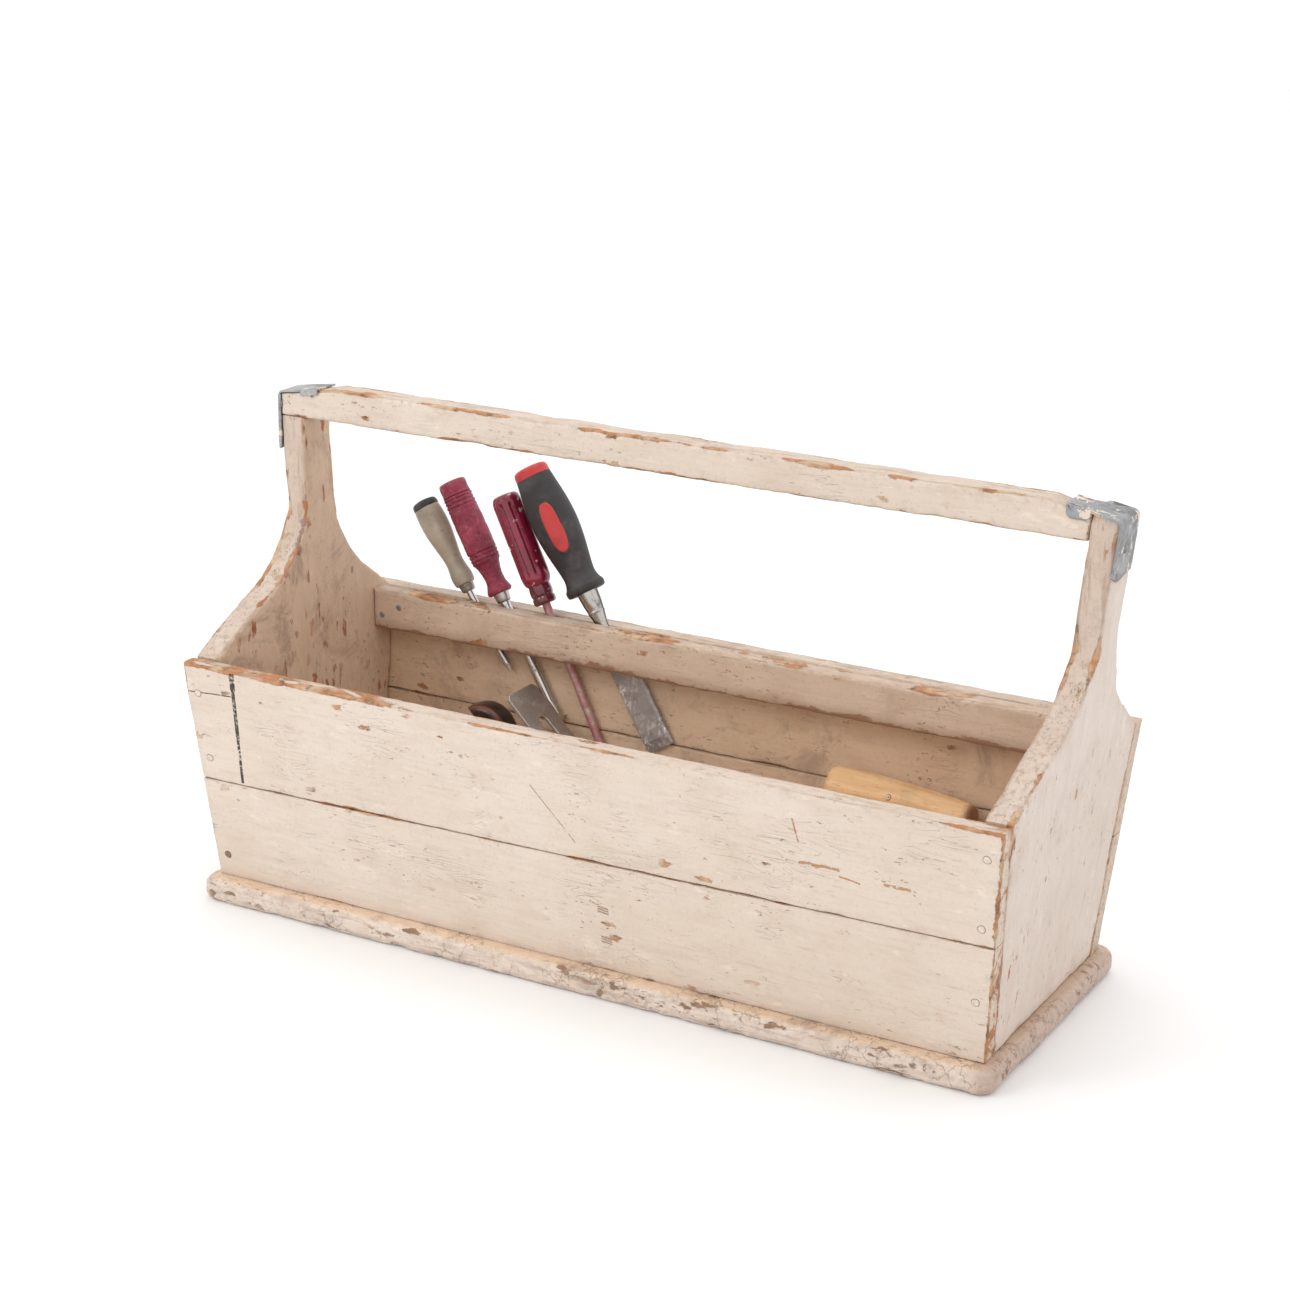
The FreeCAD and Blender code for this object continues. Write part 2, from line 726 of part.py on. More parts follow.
def make_chisel():
    spot = hang((-47.4, 117.0), (-186.5, 335.8))
    grip_low, top = 143.9, 259.9
    cap_low = top - 9.0
    grip = turned("grip", [
        (15.0, grip_low),
        ((17.2, grip_low + 2.0), (16.6, grip_low + 7.0)),
        ((14.0, grip_low + 18.0), (16.2, grip_low + 34.0)),
        ((19.4, grip_low + 66.0), (15.2, cap_low)),
    ])
    cap = turned("grip_cap", [
        (15.0, cap_low), (15.0, top - 4.0), ((13.2, top - 1.0), (9.0, top)),
    ])
    inset = make_inset(grip_low + 60.0)
    blade = make_blade(grip_low)
    place(grip, spot, "chisel_grip")
    place(cap, spot, "chisel_cap")
    turned_right = FreeCAD.Placement(ZERO, FreeCAD.Rotation(UP, SIZES["inset_turn"]))
    place(inset, spot * turned_right, "chisel_inset")
    place(blade, spot, "chisel_blade")


def make_inset(middle):
    """Plain oval plate let into the front of the chisel grip."""
    body = new_body("inset")
    sketch = new_sketch(body, "XZ_Plane", "inset_outline", SIZES["inset_depth"])
    half_long, half_wide = 19.0, 5.5
    straight = half_long - half_wide
    steps = [
        ((half_wide * 0.75, middle - straight - half_wide * 0.66), (half_wide, middle - straight)),
        (half_wide, middle + straight),
        ((half_wide * 0.75, middle + straight + half_wide * 0.66), (0.0, middle + half_long)),
        ((-half_wide * 0.75, middle + straight + half_wide * 0.66), (-half_wide, middle + straight)),
        (-half_wide, middle - straight),
        ((-half_wide * 0.75, middle - straight - half_wide * 0.66), (0.0, middle - half_long)),
    ]
    outline(sketch, (0.0, middle - half_long), steps)
    pad(body, sketch, "inset_thick")
    return body


def make_blade(grip_low):
    """Flat bevelled blade, neck and round bolster in one piece of steel."""
    half_width, half_thick = SIZES["blade_width"] / 2, SIZES["blade_thick"] / 2
    neck = turned("blade_neck", [
        (4.2, 78.0), (4.4, 100.0), ((4.6, 112.0), (5.6, 119.0)), (9.0, grip_low + 0.5),
    ])
    body = new_body("blade_flat")
    sketch = new_sketch(body, "XZ_Plane", "blade_outline")
    steps = [
        (half_width, 0.0),
        (half_width, 76.0),
        ((half_width - 2.6, 86.0), (4.0, 96.0)),
        (-4.0, 96.0),
        ((-half_width + 2.6, 86.0), (-half_width, 76.0)),
    ]
    outline(sketch, (-half_width, 0.0), steps)
    pad(body, sketch, "blade_thick")
    body.Placement = at(0, half_thick, 0)
    bevel = box("blade_bevel", "blade_width * 2", "blade_thick * 2", "blade_width",
                at(-SIZES["blade_width"], -half_thick, 9.0, FreeCAD.Rotation(ALONG, -155.0)))
    ground = combine("Cut", "blade_ground", body, bevel)
    return join("blade_joined", [neck, ground])


# ---------------------------------------------------------------- bench plane on the floor of the box

PLANE_HEEL = -210.0
PLANE_FRONT = 38.0
PLANE_MOUTH = 182.0
REST_GAP = 0.3


def plane_spot(y_offset=0.0):
    return at(PLANE_HEEL, PLANE_FRONT + y_offset, SIZES["base_thick"] + REST_GAP)


def centred(width):
    """Placement of a pad that is centred on the plane's width."""
    return plane_spot((SIZES["plane_width"] + SIZES[width]) / 2)


def make_plane_body():
    length, sole = SIZES["plane_length"], SIZES["sole_thick"]
    body = new_body("plane_casting")
    sketch = new_sketch(body, "XZ_Plane", "plane_outline")
    steps = [
        (length, 0.0),
        (length, 9.0),
        ((222.0, 24.0), (196.0, 48.0)),
        ((185.0, 54.0), (170.0, 55.0)),
        (130.0, 55.0),
        ((95.0, 44.0), (60.0, 16.0)),
        (0.0, 9.0),
    ]
    outline(sketch, (0.0, 0.0), steps, [(1, "x", "plane_length")])
    pad(body, sketch, "plane_width")
    trough = new_sketch(body, "XY_Plane", "trough_outline", sole)
    near, far = -SIZES["plane_width"] + SIZES["cheek_thick"], -SIZES["cheek_thick"]
    outline(trough, (-1.0, near), [(length + 1.0, near), (length + 1.0, far), (-1.0, far)])
    pocket(body, trough, "plane_width * 2", reverse=True)
    mouth = new_sketch(body, "XY_Plane", "mouth_outline", sole)
    near, far = near + 1.0, far - 1.0
    low, high = PLANE_MOUTH - 8.0, PLANE_MOUTH + 3.0
    outline(mouth, (low, near), [(high, near), (high, far), (low, far)])
    pocket(body, mouth, "sole_thick")
    place(body, plane_spot(SIZES["plane_width"]), "plane_body")


def make_frog():
    sole = SIZES["sole_thick"]
    body = new_body("frog")
    sketch = new_sketch(body, "XZ_Plane", "frog_outline")
    reach = PLANE_MOUTH + 0.6
    steps = [(reach - sole, sole), (reach - 67.0, 67.0), (103.0, 60.0)]
    outline(sketch, (110.0, sole), steps)
    pad(body, sketch, "frog_width")
    place(body, centred("frog_width"), "plane_frog")


def slope_spot(width, along, lift):
    """Placement on the plane's 45 degree bed: local X runs up the bed, local Z away from it."""
    heading = FreeCAD.Vector(-1, 0, 1).normalize()
    away = FreeCAD.Vector(1, 0, 1).normalize()
    corner = FreeCAD.Vector(PLANE_HEEL + PLANE_MOUTH, PLANE_FRONT + (SIZES["plane_width"] - SIZES[width]) / 2,
                            SIZES["base_thick"] + REST_GAP + 1.0)
    turn = FreeCAD.Rotation(heading, ZERO, away, "ZXY")
    return FreeCAD.Placement(corner + heading * along + away * lift, turn)


def make_iron():
    """Cutting iron with clipped top corners and a long slot."""
    length, width, clip = SIZES["iron_length"], SIZES["iron_width"], SIZES["iron_clip"]
    body = new_body("iron")
    sketch = new_sketch(body, "XY_Plane", "iron_outline")
    steps = [
        (length - clip, -width), (length, -width + clip), (length, -clip),
        (length - clip, 0.0), (0.0, 0.0),
    ]
    outline(sketch, (0.0, -width), steps, [(2, "x", "iron_length")])
    pad(body, sketch, "iron_thick")
    slot = new_sketch(body, "XY_Plane", "iron_slot")
    middle, half = -width / 2, 5.5
    low, high = 55.0, length - 34.0
    outline(slot, (low, middle - half), [
        (high, middle - half),
        ((high + half, middle), (high, middle + half)),
        (low, middle + half),
        ((low - half, middle), (low, middle - half)),
    ])
    pocket(body, slot, "iron_thick", reverse=True)
    place(body, slope_spot("iron_width", 0.0, 0.0), "plane_iron")


def make_lever_cap():
    width = SIZES["cap_width"]
    body = new_body("lever_cap")
    sketch = new_sketch(body, "XY_Plane", "cap_outline")
    steps = [
        (84.0, -width + 5.0),
        ((93.0, -width / 2), (84.0, -5.0)),
        (0.0, 0.0),
    ]
    outline(sketch, (0.0, -width), steps)
    pad(body, sketch, "cap_thick")
    place(body, slope_spot("cap_width", 14.0, SIZES["iron_thick"] + 0.2), "plane_lever_cap")


def make_tote():
    sole = SIZES["sole_thick"]
    body = new_body("tote")
    sketch = new_sketch(body, "XZ_Plane", "tote_outline")
    steps = [
        (92.0, sole + 0.3),
        (88.0, 16.0),
        ((60.0, 40.0), (50.0, 66.0)),
        ((46.0, 90.0), (38.0, 107.3)),
        ((26.0, 118.5), (9.0, 119.5)),
        (1.0, 116.5),
        ((15.0, 98.0), (20.0, 74.0)),
        ((20.0, 40.0), (14.0, 16.0)),
    ]
    outline(sketch, (14.0, sole + 0.3), steps)
    pad(body, sketch, "tote_thick")
    place(body, centred("tote_thick"), "plane_tote")


def make_knob():
    low = SIZES["sole_thick"]
    knob = turned("knob", [
        (11.0, low),
        ((12.0, low + 3.0), (9.0, low + 8.0)),
        ((8.0, low + 16.0), (13.0, low + 27.0)),
        ((17.0, low + 40.0), (9.0, low + 49.0)),
    ])
    place(knob, at(PLANE_HEEL + 222.0, PLANE_FRONT + SIZES["plane_width"] / 2,
                   SIZES["base_thick"] + REST_GAP), "plane_knob")


def make_tote_nut():
    lean = FreeCAD.Rotation(UP, FreeCAD.Vector(0.45, 0, 1))
    nut = cylinder("tote_nut", "nut_radius", "nut_height",
                   at(PLANE_HEEL + 24.0, PLANE_FRONT + SIZES["plane_width"] / 2,
                      SIZES["base_thick"] + REST_GAP + 113.5, lean))
    keep(nut, "plane_tote_nut")


# ---------------------------------------------------------------- T-handled auger leaning in the box

def make_auger():
    left = FreeCAD.Vector(115.0, 88.0, 123.0)
    right = FreeCAD.Vector(240.0, 88.0, 116.0)
    length = (right - left).Length
    grip_axis = FreeCAD.Placement(left, FreeCAD.Rotation(UP, right - left))
    handle = turned("auger_grip", [
        (12.0, 0.0),
        ((16.4, 1.6), (17.4, 6.0)),
        ((17.6, length * 0.45), (14.0, length - 6.0)),
        ((12.6, length - 1.2), (9.0, length)),
    ])
    place(handle, grip_axis, "auger_handle")
    middle = left + (right - left) * 0.46
    foot = FreeCAD.Vector(middle.x, 75.0, SIZES["base_thick"] + REST_GAP)
    reach = (middle - foot).Length
    shank = turned("auger_steel", [
        (0.6, 0.0), (3.0, 9.0), (SIZES["auger_shank_radius"], 12.0),
        (SIZES["auger_shank_radius"], reach + 10.0),
    ])
    upright = FreeCAD.Rotation(UP, middle - foot)
    place(shank, FreeCAD.Placement(foot, upright), "auger_shank")
    pin_spot = middle + FreeCAD.Vector(0, -0.86, 0.5).normalize() * 15.4
    pin = cylinder("auger_pin_disc", "auger_pin_radius", "auger_pin_height",
                   FreeCAD.Placement(pin_spot, FreeCAD.Rotation(UP, FreeCAD.Vector(0, -0.86, 0.5))))
    keep(pin, "auger_pin")


# ---------------------------------------------------------------- build, check and write

def write_subparts():
    DOC.recompute()
    for thing in DOC.Objects:
        if "Invalid" in thing.State or "Error" in thing.State:
            raise RuntimeError(thing.Label + " is in state " + str(thing.State))
    os.makedirs("parts", exist_ok=True)
    for thing in SUBPARTS:
        shape = thing.Shape
        if shape.isNull() or not shape.isValid():
            raise RuntimeError(thing.Label + " has no valid shape")
        shape.exportStep("parts/%s.step" % thing.Label)
        bounds = shape.BoundBox
        print("%-22s %6.1f %6.1f %6.1f  to %6.1f %6.1f %6.1f  solids %d" % (
            thing.Label, bounds.XMin, bounds.YMin, bounds.ZMin,
            bounds.XMax, bounds.YMax, bounds.ZMax, len(shape.Solids)))


make_base()
make_front_wall()
make_back_wall()
make_left_end()
make_right_end()
make_bar()
make_left_bracket()
make_right_bracket()
make_rack()
make_wall_nails()
make_rack_nails()
make_bracket_nails()
make_small_driver()
make_red_driver()
make_fluted_driver()
make_chisel()
make_plane_body()
make_frog()
make_iron()
make_lever_cap()
make_tote()
make_knob()
make_tote_nut()
make_auger()
write_subparts()
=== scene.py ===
import math

import bmesh
import bpy
from mathutils import Matrix, Vector, noise


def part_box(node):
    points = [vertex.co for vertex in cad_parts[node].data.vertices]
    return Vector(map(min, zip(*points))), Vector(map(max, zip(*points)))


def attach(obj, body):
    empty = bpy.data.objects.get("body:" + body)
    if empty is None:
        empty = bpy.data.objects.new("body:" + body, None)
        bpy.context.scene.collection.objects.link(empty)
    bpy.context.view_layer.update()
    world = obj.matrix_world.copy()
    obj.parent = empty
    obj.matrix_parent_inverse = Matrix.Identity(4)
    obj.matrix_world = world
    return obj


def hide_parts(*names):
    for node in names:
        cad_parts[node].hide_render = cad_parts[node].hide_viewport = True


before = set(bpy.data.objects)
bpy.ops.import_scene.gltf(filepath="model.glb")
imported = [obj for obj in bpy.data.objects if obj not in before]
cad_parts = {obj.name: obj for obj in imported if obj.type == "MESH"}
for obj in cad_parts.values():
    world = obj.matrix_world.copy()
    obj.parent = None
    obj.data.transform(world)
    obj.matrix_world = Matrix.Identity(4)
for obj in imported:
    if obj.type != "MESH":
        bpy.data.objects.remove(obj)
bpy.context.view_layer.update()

MM = 0.001


# -------- places read from the frame, in millimetres

def low(node):
    return Vector(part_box(node)[0]) / MM


def high(node):
    return Vector(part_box(node)[1]) / MM


BASE_TOP = high("base_board").z
FRONT_TOP = high("front_upper_board").z
BACK_TOP = high("back_upper_board").z
LEFT_POST_TOP = high("left_end_board").z
RIGHT_POST_TOP = high("right_end_board").z
POST_FRONT, POST_BACK = low("handle_bar").y, 37
BAR_TOP = high("handle_bar").z

# The box on its base, the thickness of its wall boards, end boards and straps, and the gap left
# where one part lies on another.
LEFT_FOOT, RIGHT_FOOT = -338.6, 338.6
FOOT_DEPTH = 116.5
BOARD, END, STRAP = 17, 22, 1.6
FIT = 0.3
# The seam between the two front boards rises to the right; the one at the back is level.
SEAM_MIDDLE, SEAM_SLOPE = 113.8, 9.6 / (RIGHT_FOOT - LEFT_FOOT)
BACK_SEAM = 119.7
SEAM_GAP = 0.25
# The right post's top slants above a height, and the bar's top falls away at both ends.
SLANT_START, SLANT = 385, 0.19
BAR_LEFT_RUN, BAR_LEFT_DROP, BAR_LEFT_END_DROP = 37, 3, 9
BAR_RIGHT_RUN = 19

LEFT_LEAN = (LEFT_FOOT - low("back_upper_board").x) / (BACK_TOP - BASE_TOP)
RIGHT_LEAN = (high("back_upper_board").x - RIGHT_FOOT) / (BACK_TOP - BASE_TOP)
FRONT_LEAN = (-low("front_upper_board").y - FOOT_DEPTH) / (FRONT_TOP - BASE_TOP)
BACK_LEAN = (high("back_upper_board").y - FOOT_DEPTH) / (BACK_TOP - BASE_TOP)


def left_at(z):
    return LEFT_FOOT - LEFT_LEAN * (z - BASE_TOP)


def right_at(z):
    return RIGHT_FOOT + RIGHT_LEAN * (z - BASE_TOP)


def front_at(z):
    return -FOOT_DEPTH - FRONT_LEAN * (z - BASE_TOP)


def back_at(z):
    return FOOT_DEPTH + BACK_LEAN * (z - BASE_TOP)


def seam_at(x):
    return SEAM_MIDDLE + SEAM_SLOPE * x


def aimed(spot, direction):
    """Placement at a spot with local Z along a direction."""
    turn = Vector((0, 0, 1)).rotation_difference(Vector(direction)).to_matrix().to_4x4()
    return Matrix.Translation(Vector(spot)) @ turn


def behind(front):
    """Lays a shape seen from the front, from a depth backwards."""
    return lambda u, v, t: (u, front + t, v)


# -------- shape tools

def arc_points(first, middle, last, step):
    """Points along the circle through three points, without the first."""
    (ax, ay), (bx, by), (cx, cy) = first, middle, last
    d = 2 * (ax * (by - cy) + bx * (cy - ay) + cx * (ay - by))
    ux = ((ax**2 + ay**2) * (by - cy) + (bx**2 + by**2) * (cy - ay) + (cx**2 + cy**2) * (ay - by)) / d
    uy = ((ax**2 + ay**2) * (cx - bx) + (bx**2 + by**2) * (ax - cx) + (cx**2 + cy**2) * (bx - ax)) / d
    radius = math.hypot(ax - ux, ay - uy)
    start = math.atan2(ay - uy, ax - ux)
    turn = math.atan2(cy - uy, cx - ux) - start
    way = (bx - ax) * (cy - ay) - (by - ay) * (cx - ax)
    turn = turn % (2 * math.pi) if way > 0 else turn % (2 * math.pi) - 2 * math.pi
    count = max(4, int(abs(turn) * radius / step))
    return [(ux + radius * math.cos(start + turn * k / count),
             uy + radius * math.sin(start + turn * k / count)) for k in range(1, count + 1)]


def line_points(first, last, step):
    """Evenly spaced points along a straight line, without the first."""
    count = max(1, int(math.dist(first, last) / step))
    return [(first[0] + (last[0] - first[0]) * k / count,
             first[1] + (last[1] - first[1]) * k / count) for k in range(1, count + 1)]


def outline(start, steps, step=4):
    """Dense closed outline. A step is an end point, or a middle and an end point for an arc."""
    points, here = [start], start
    for item in steps:
        if isinstance(item[0], tuple):
            points += arc_points(here, item[0], item[1], step)
            here = item[1]
        else:
            points += line_points(here, item, step)
            here = item
    points += line_points(here, start, step)[:-1]
    area = sum(a[0] * b[1] - b[0] * a[1] for a, b in zip(points, points[1:] + points[:1]))
    return points if area > 0 else points[::-1]


def inward_steps(points):
    """For each corner of a closed outline, the move that insets both its sides by one."""
    moves = []
    for before, here, after in zip(points[-1:] + points[:-1], points, points[1:] + points[:1]):
        one = Vector((here[0] - before[0], here[1] - before[1])).normalized()
        two = Vector((after[0] - here[0], after[1] - here[1])).normalized()
        side_one, side_two = Vector((-one.y, one.x)), Vector((-two.y, two.x))
        both = side_one + side_two
        moves.append(both / max(0.35, both.dot(side_one)))
    return moves


def inset_ring(points, inset):
    """Closed outline moved inwards; points that would cross at a corner gather just inside it."""
    spots = [Vector(p) + move * inset for p, move in zip(points, inward_steps(points))]
    if inset < 3:
        return spots
    count = len(points)
    reach = min(count // 3, int(2.5 * inset / math.dist(points[0], points[1])) + 3)
    result = []
    for k, spot in enumerate(spots):
        pushed = spot.copy()
        for _ in range(3):
            for j in range(k - reach, k + reach):
                start, end = Vector(points[j % count]), Vector(points[(j + 1) % count])
                along = (end - start).normalized()
                inward = Vector((-along.y, along.x))
                away = pushed - start
                if -0.5 < away.dot(along) < (end - start).length + 0.5 and -inset < away.dot(inward) < inset:
                    pushed += inward * (inset - away.dot(inward))
        gathered = min(1, (pushed - spot).length / inset)
        result.append(pushed + (Vector(points[k]) - pushed) * 0.06 * gathered)
    return result


def ragged(place, size, seed):
    """Smooth signed noise at a place in millimetres."""
    return noise.noise(Vector(place) / size + Vector((seed * 7.3, seed * 3.1, seed * 5.7)))


def join_rings(mesh, rings):
    """Quads from each ring of vertices to the next."""
    for one, two in zip(rings, rings[1:]):
        count = len(one)
        for k in range(count):
            mesh.faces.new((one[k], one[(k + 1) % count], two[(k + 1) % count], two[k]))


def fill_rings(mesh, *rings):
    """Flat triangles inside the first ring and outside any other."""
    edges = [mesh.edges.get((ring[k], ring[(k + 1) % len(ring)])) for ring in rings for k in range(len(ring))]
    bmesh.ops.triangle_fill(mesh, edges=edges, use_beauty=True)


def finish_mesh(name, mesh, smooth=True, angle=40):
    bmesh.ops.recalc_face_normals(mesh, faces=mesh.faces[:])
    data = bpy.data.meshes.new(name)
    mesh.to_mesh(data)
    mesh.free()
    for face in data.polygons:
        face.use_smooth = smooth
    piece = bpy.data.objects.new(name, data)
    bpy.context.scene.collection.objects.link(piece)
    if smooth:
        data.set_sharp_from_angle(angle=math.radians(angle))
    return piece


def rim_profile(thick, radius, rings, room):
    """Inset and height pairs round a board's edge, from one face to the other."""
    arc = [math.pi / 2 * k / rings for k in range(rings + 1)]
    far, close = min(radius * 2.6 + 3, room * 0.9), min(radius * 1.6 + 1, room * 0.6)
    start = [(far, 0), (close, 0)]
    start += [(radius - radius * math.sin(a), radius - radius * math.cos(a)) for a in arc]
    if thick > 4 * close:
        start.append((0, radius + close))
    finish = [(inset, thick - height) for inset, height in reversed(start)]
    return start + finish


def prism(name, points, thick, place, radius=1.5, wear=1, seed=1, rounds=3, room=100):
    """Board with rounded, uneven edges: an outline given a thickness and laid by place(u, v, t).

    Vertex values: wear is 1 on the arrises, near fades from the edges over the faces, and inner
    goes from 0 on the first face to 1 on the other. room is the outline's narrowest half width."""
    mesh = bmesh.new()
    worn, close_by, inner = (mesh.verts.layers.float.new(label) for label in ("wear", "near", "inner"))
    moves, rings = inward_steps(points), []
    profile = rim_profile(thick, radius, rounds, room)
    widest, fade = profile[0][0], profile[1][0]
    for inset, height in profile:
        ring = []
        depth = min(height, thick - height)
        arris = max(0, 1 - inset / fade) * max(0, 1 - max(0, depth - radius * 0.5) / fade)
        near = max(0, 1 - inset / (radius * 2.5)) * max(0, 1 - depth / (radius * 2.5))
        for (u, v), move, flat in zip(points, moves, inset_ring(points, inset)):
            bite = max(0, ragged((u, v, height * 0.3), 34, seed)) * 2.2
            bite += max(0, ragged((u, v, height * 0.5), 9, seed + 4)) * 1.2
            cut = bite * near * wear * radius * 0.42
            sink = cut * (1 if height < thick / 2 else -1) * 0.7
            spot = place(flat.x + move.x * cut, flat.y + move.y * cut, height + sink)
            vertex = mesh.verts.new(Vector(spot) * MM)
            vertex[worn] = arris
            vertex[close_by] = 1 - inset / widest
            vertex[inner] = height / thick
            ring.append(vertex)
        rings.append(ring)
    join_rings(mesh, rings)
    fill_rings(mesh, rings[0])
    fill_rings(mesh, rings[-1])
    return finish_mesh(name, mesh)


def spline(points, per=6):
    """Catmull-Rom curve through points."""
    padded = [points[0]] + list(points) + [points[-1]]
    result = []
    for k in range(1, len(padded) - 2):
        p0, p1, p2, p3 = (Vector(p) for p in padded[k - 1:k + 3])
        for j in range(per):
            t = j / per
            result.append(0.5 * ((2 * p1) + (p2 - p0) * t + (2 * p0 - 5 * p1 + 4 * p2 - p3) * t * t
                                 + (3 * p1 - p0 - 3 * p2 + p3) * t ** 3))
    result.append(Vector(points[-1]))
    return result


def lathe(name, profile, place, shape=None, sides=64, attribute=None):
    """Turned piece. profile holds (radius, height); shape(angle, height, radius) may change a radius."""
    mesh = bmesh.new()
    worn = mesh.verts.layers.float.new("wear")
    rings = []
    for radius, height in profile:
        ring = []
        for k in range(sides):
            angle = 2 * math.pi * k / sides
            r = shape(angle, height, radius) if shape else radius
            vertex = mesh.verts.new(place @ Vector((r * math.cos(angle), r * math.sin(angle), height)) * MM)
            vertex[worn] = attribute(angle, height) if attribute else 0
            ring.append(vertex)
        rings.append(ring)
    join_rings(mesh, rings)
    mesh.faces.new(rings[0][::-1])
    mesh.faces.new(rings[-1])
    return finish_mesh(name, mesh)


def done(piece, body, material, node):
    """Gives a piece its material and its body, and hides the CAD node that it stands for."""
    piece.data.materials.append(material)
    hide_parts(node)
    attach(piece, body)


def assemble(body, *parts):
    """Finishes a tool's parts. Each comes with its material, the end of its CAD node's name and its slot,
    which is not used.
    """
    for piece, material, part, slot in parts:
        done(piece, body, material, "%s_%s" % (body, part))


# -------- material tools

def tinted(color, *factors):
    """A colour times one factor, or one for each channel."""
    return tuple(c * k for c, k in zip(color, factors * 3))


def eased(grain, along, across=1):
    """A grain's stretch with other values along and across the fibres."""
    return tuple(along if s < 1 else across for s in grain)


class Graph:
    """Short names for building one material's nodes. color is the colour laid on so far."""

    def __init__(self, name, color):
        self.material = bpy.data.materials.new(name)
        self.material.use_nodes = True
        self.tree = self.material.node_tree
        self.tree.nodes.clear()
        self.shader = self.tree.nodes.new("ShaderNodeBsdfPrincipled")
        self.node("OutputMaterial", {"Surface": self.shader.outputs["BSDF"]})
        self.coords = self.node("TexCoord", {})["Object"]
        self.color = color

    def feed(self, socket, value):
        if isinstance(value, bpy.types.NodeSocket):
            self.tree.links.new(value, socket)
        elif isinstance(value, (tuple, list)) and len(value) == 3 and socket.type == "RGBA":
            socket.default_value = (*value, 1)
        else:
            socket.default_value = value

    def node(self, kind, inputs, **fields):
        """Adds a node with its fields set and its inputs fed, and returns its outputs."""
        made = self.tree.nodes.new("ShaderNode" + kind)
        for field, value in fields.items():
            setattr(made, field, value)
        for key, value in inputs.items():
            self.feed(made.inputs[key], value)
        return made.outputs

    def stretch(self, *scale):
        return self.node("Mapping", {"Vector": self.coords, "Scale": scale})["Vector"]

    def noise(self, scale, detail=4, rough=0.5, vector=None, warp=0, output="Fac"):
        return self.node("TexNoise", {"Vector": vector or self.coords, "Scale": scale, "Detail": detail,
                                      "Roughness": rough, "Distortion": warp})[output]

    def cells(self, scale, vector=None, feature="F1", output="Distance"):
        place = {"Vector": vector or self.coords, "Scale": scale}
        return self.node("TexVoronoi", place, feature=feature)[output]

    def warped(self, amount, scale, vector=None):
        """Coordinates pushed about by noise, to break up regular shapes."""
        vector = vector or self.coords
        push = self.noise(scale, 4, 0.6, vector, output="Color")
        return self.node("VectorMath", {0: push, 1: (amount,) * 3, 2: vector}, operation="MULTIPLY_ADD")[0]

    def spots(self, scale, vector, share, size, soft=0.02):
        """Scattered spots: the share of cells that hold one, and its greatest size in cells."""
        pick = self.split(self.cells(scale, vector, output="Color"))
        reach = self.times(self.plus(pick[1], 0.25), size)
        beyond = self.minus(self.cells(scale, vector), reach)
        return self.times(self.step(beyond, soft, -soft), self.math("LESS_THAN", pick[0], share))

    def math(self, kind, one, two=0, clamp=False):
        return self.node("Math", {0: one, 1: two}, operation=kind, use_clamp=clamp)[0]

    def plus(self, one, two):
        return self.math("ADD", one, two)

    def minus(self, one, two, clamp=False):
        return self.math("SUBTRACT", one, two, clamp)

    def times(self, one, two):
        return self.math("MULTIPLY", one, two)

    def most(self, one, two):
        return self.math("MAXIMUM", one, two)

    def total(self, *terms):
        """Sum of values, each times its weight."""
        result = self.times(*terms[0])
        for value, weight in terms[1:]:
            result = self.plus(result, self.times(value, weight))
        return result

    def step(self, value, start, end, low=0, high=1):
        """Smooth ramp from low at start to high at end."""
        ends = {"Value": value, "From Min": start, "From Max": end, "To Min": low, "To Max": high}
        return self.node("MapRange", ends, interpolation_type="SMOOTHSTEP")["Result"]

    def patch(self, scale, detail, rough, *ends):
        """Patches where noise passes from one value to another."""
        return self.step(self.noise(scale, detail, rough), *ends)

    def mix(self, amount, one, two, blend="MIX"):
        return self.node("Mix", {0: amount, 6: one, 7: two}, data_type="RGBA", blend_type=blend)[2]

    def lay(self, amount, color, blend="MIX"):
        self.color = self.mix(amount, self.color, color, blend)

    def attribute(self, name):
        return self.node("Attribute", {}, attribute_name=name)["Fac"]

    def split(self, vector=None):
        return self.node("SeparateXYZ", {0: vector or self.coords})

    def bump(self, height, distance, strength=1):
        return self.node("Bump", {"Strength": strength, "Distance": distance, "Height": height})["Normal"]

    def finish(self, rough, normal=None, metal=0, specular=0.5, coat=0, coat_rough=0.1):
        settings = {"Base Color": self.color, "Roughness": rough, "Metallic": metal, "Coat Weight": coat,
                    "Specular IOR Level": specular, "Coat Roughness": coat_rough}
        for key, value in settings.items():
            self.feed(self.shader.inputs[key], value)
        if normal:
            self.feed(self.shader.inputs["Normal"], normal)
        return self.material

    def stroke(self, first, last, width, wobble):
        """Mask of a thin mark between two places, given in millimetres as seen from the front."""
        x, _, z = self.split()
        length = math.dist(first, last)
        du, dv = (last[0] - first[0]) / length, (last[1] - first[1]) / length
        u = self.minus(self.times(x, 1000), first[0])
        v = self.minus(self.plus(self.times(z, 1000), wobble), first[1])
        along = self.total((u, du), (v, dv))
        across = self.math("ABSOLUTE", self.minus(self.times(v, du), self.times(u, dv)))
        beyond = self.minus(self.math("ABSOLUTE", self.minus(along, length / 2)), length / 2)
        return self.step(self.most(across, beyond), width / 2 + 0.4, width / 2)


# -------- painted wood

ALONG_X = (0.1, 1, 1)
UP_Z = (1, 1, 0.1)

CREAM = (0.725, 0.622, 0.53)
# Painted shade for the inside of the box, with a browner, dirtier tint: the inner faces are multiplied by it.
INSIDE_SHADE = (1, 0.88, 0.74)
RAW_WOOD = (0.46, 0.2, 0.085)
PALE_WOOD = (0.6, 0.42, 0.27)
DARK_GRIME = (0.13, 0.075, 0.045)
TAN_GRIME = (0.45, 0.315, 0.225)
GREY_GRIME = (0.36, 0.3, 0.25)
BARE_LEVEL = 0.765


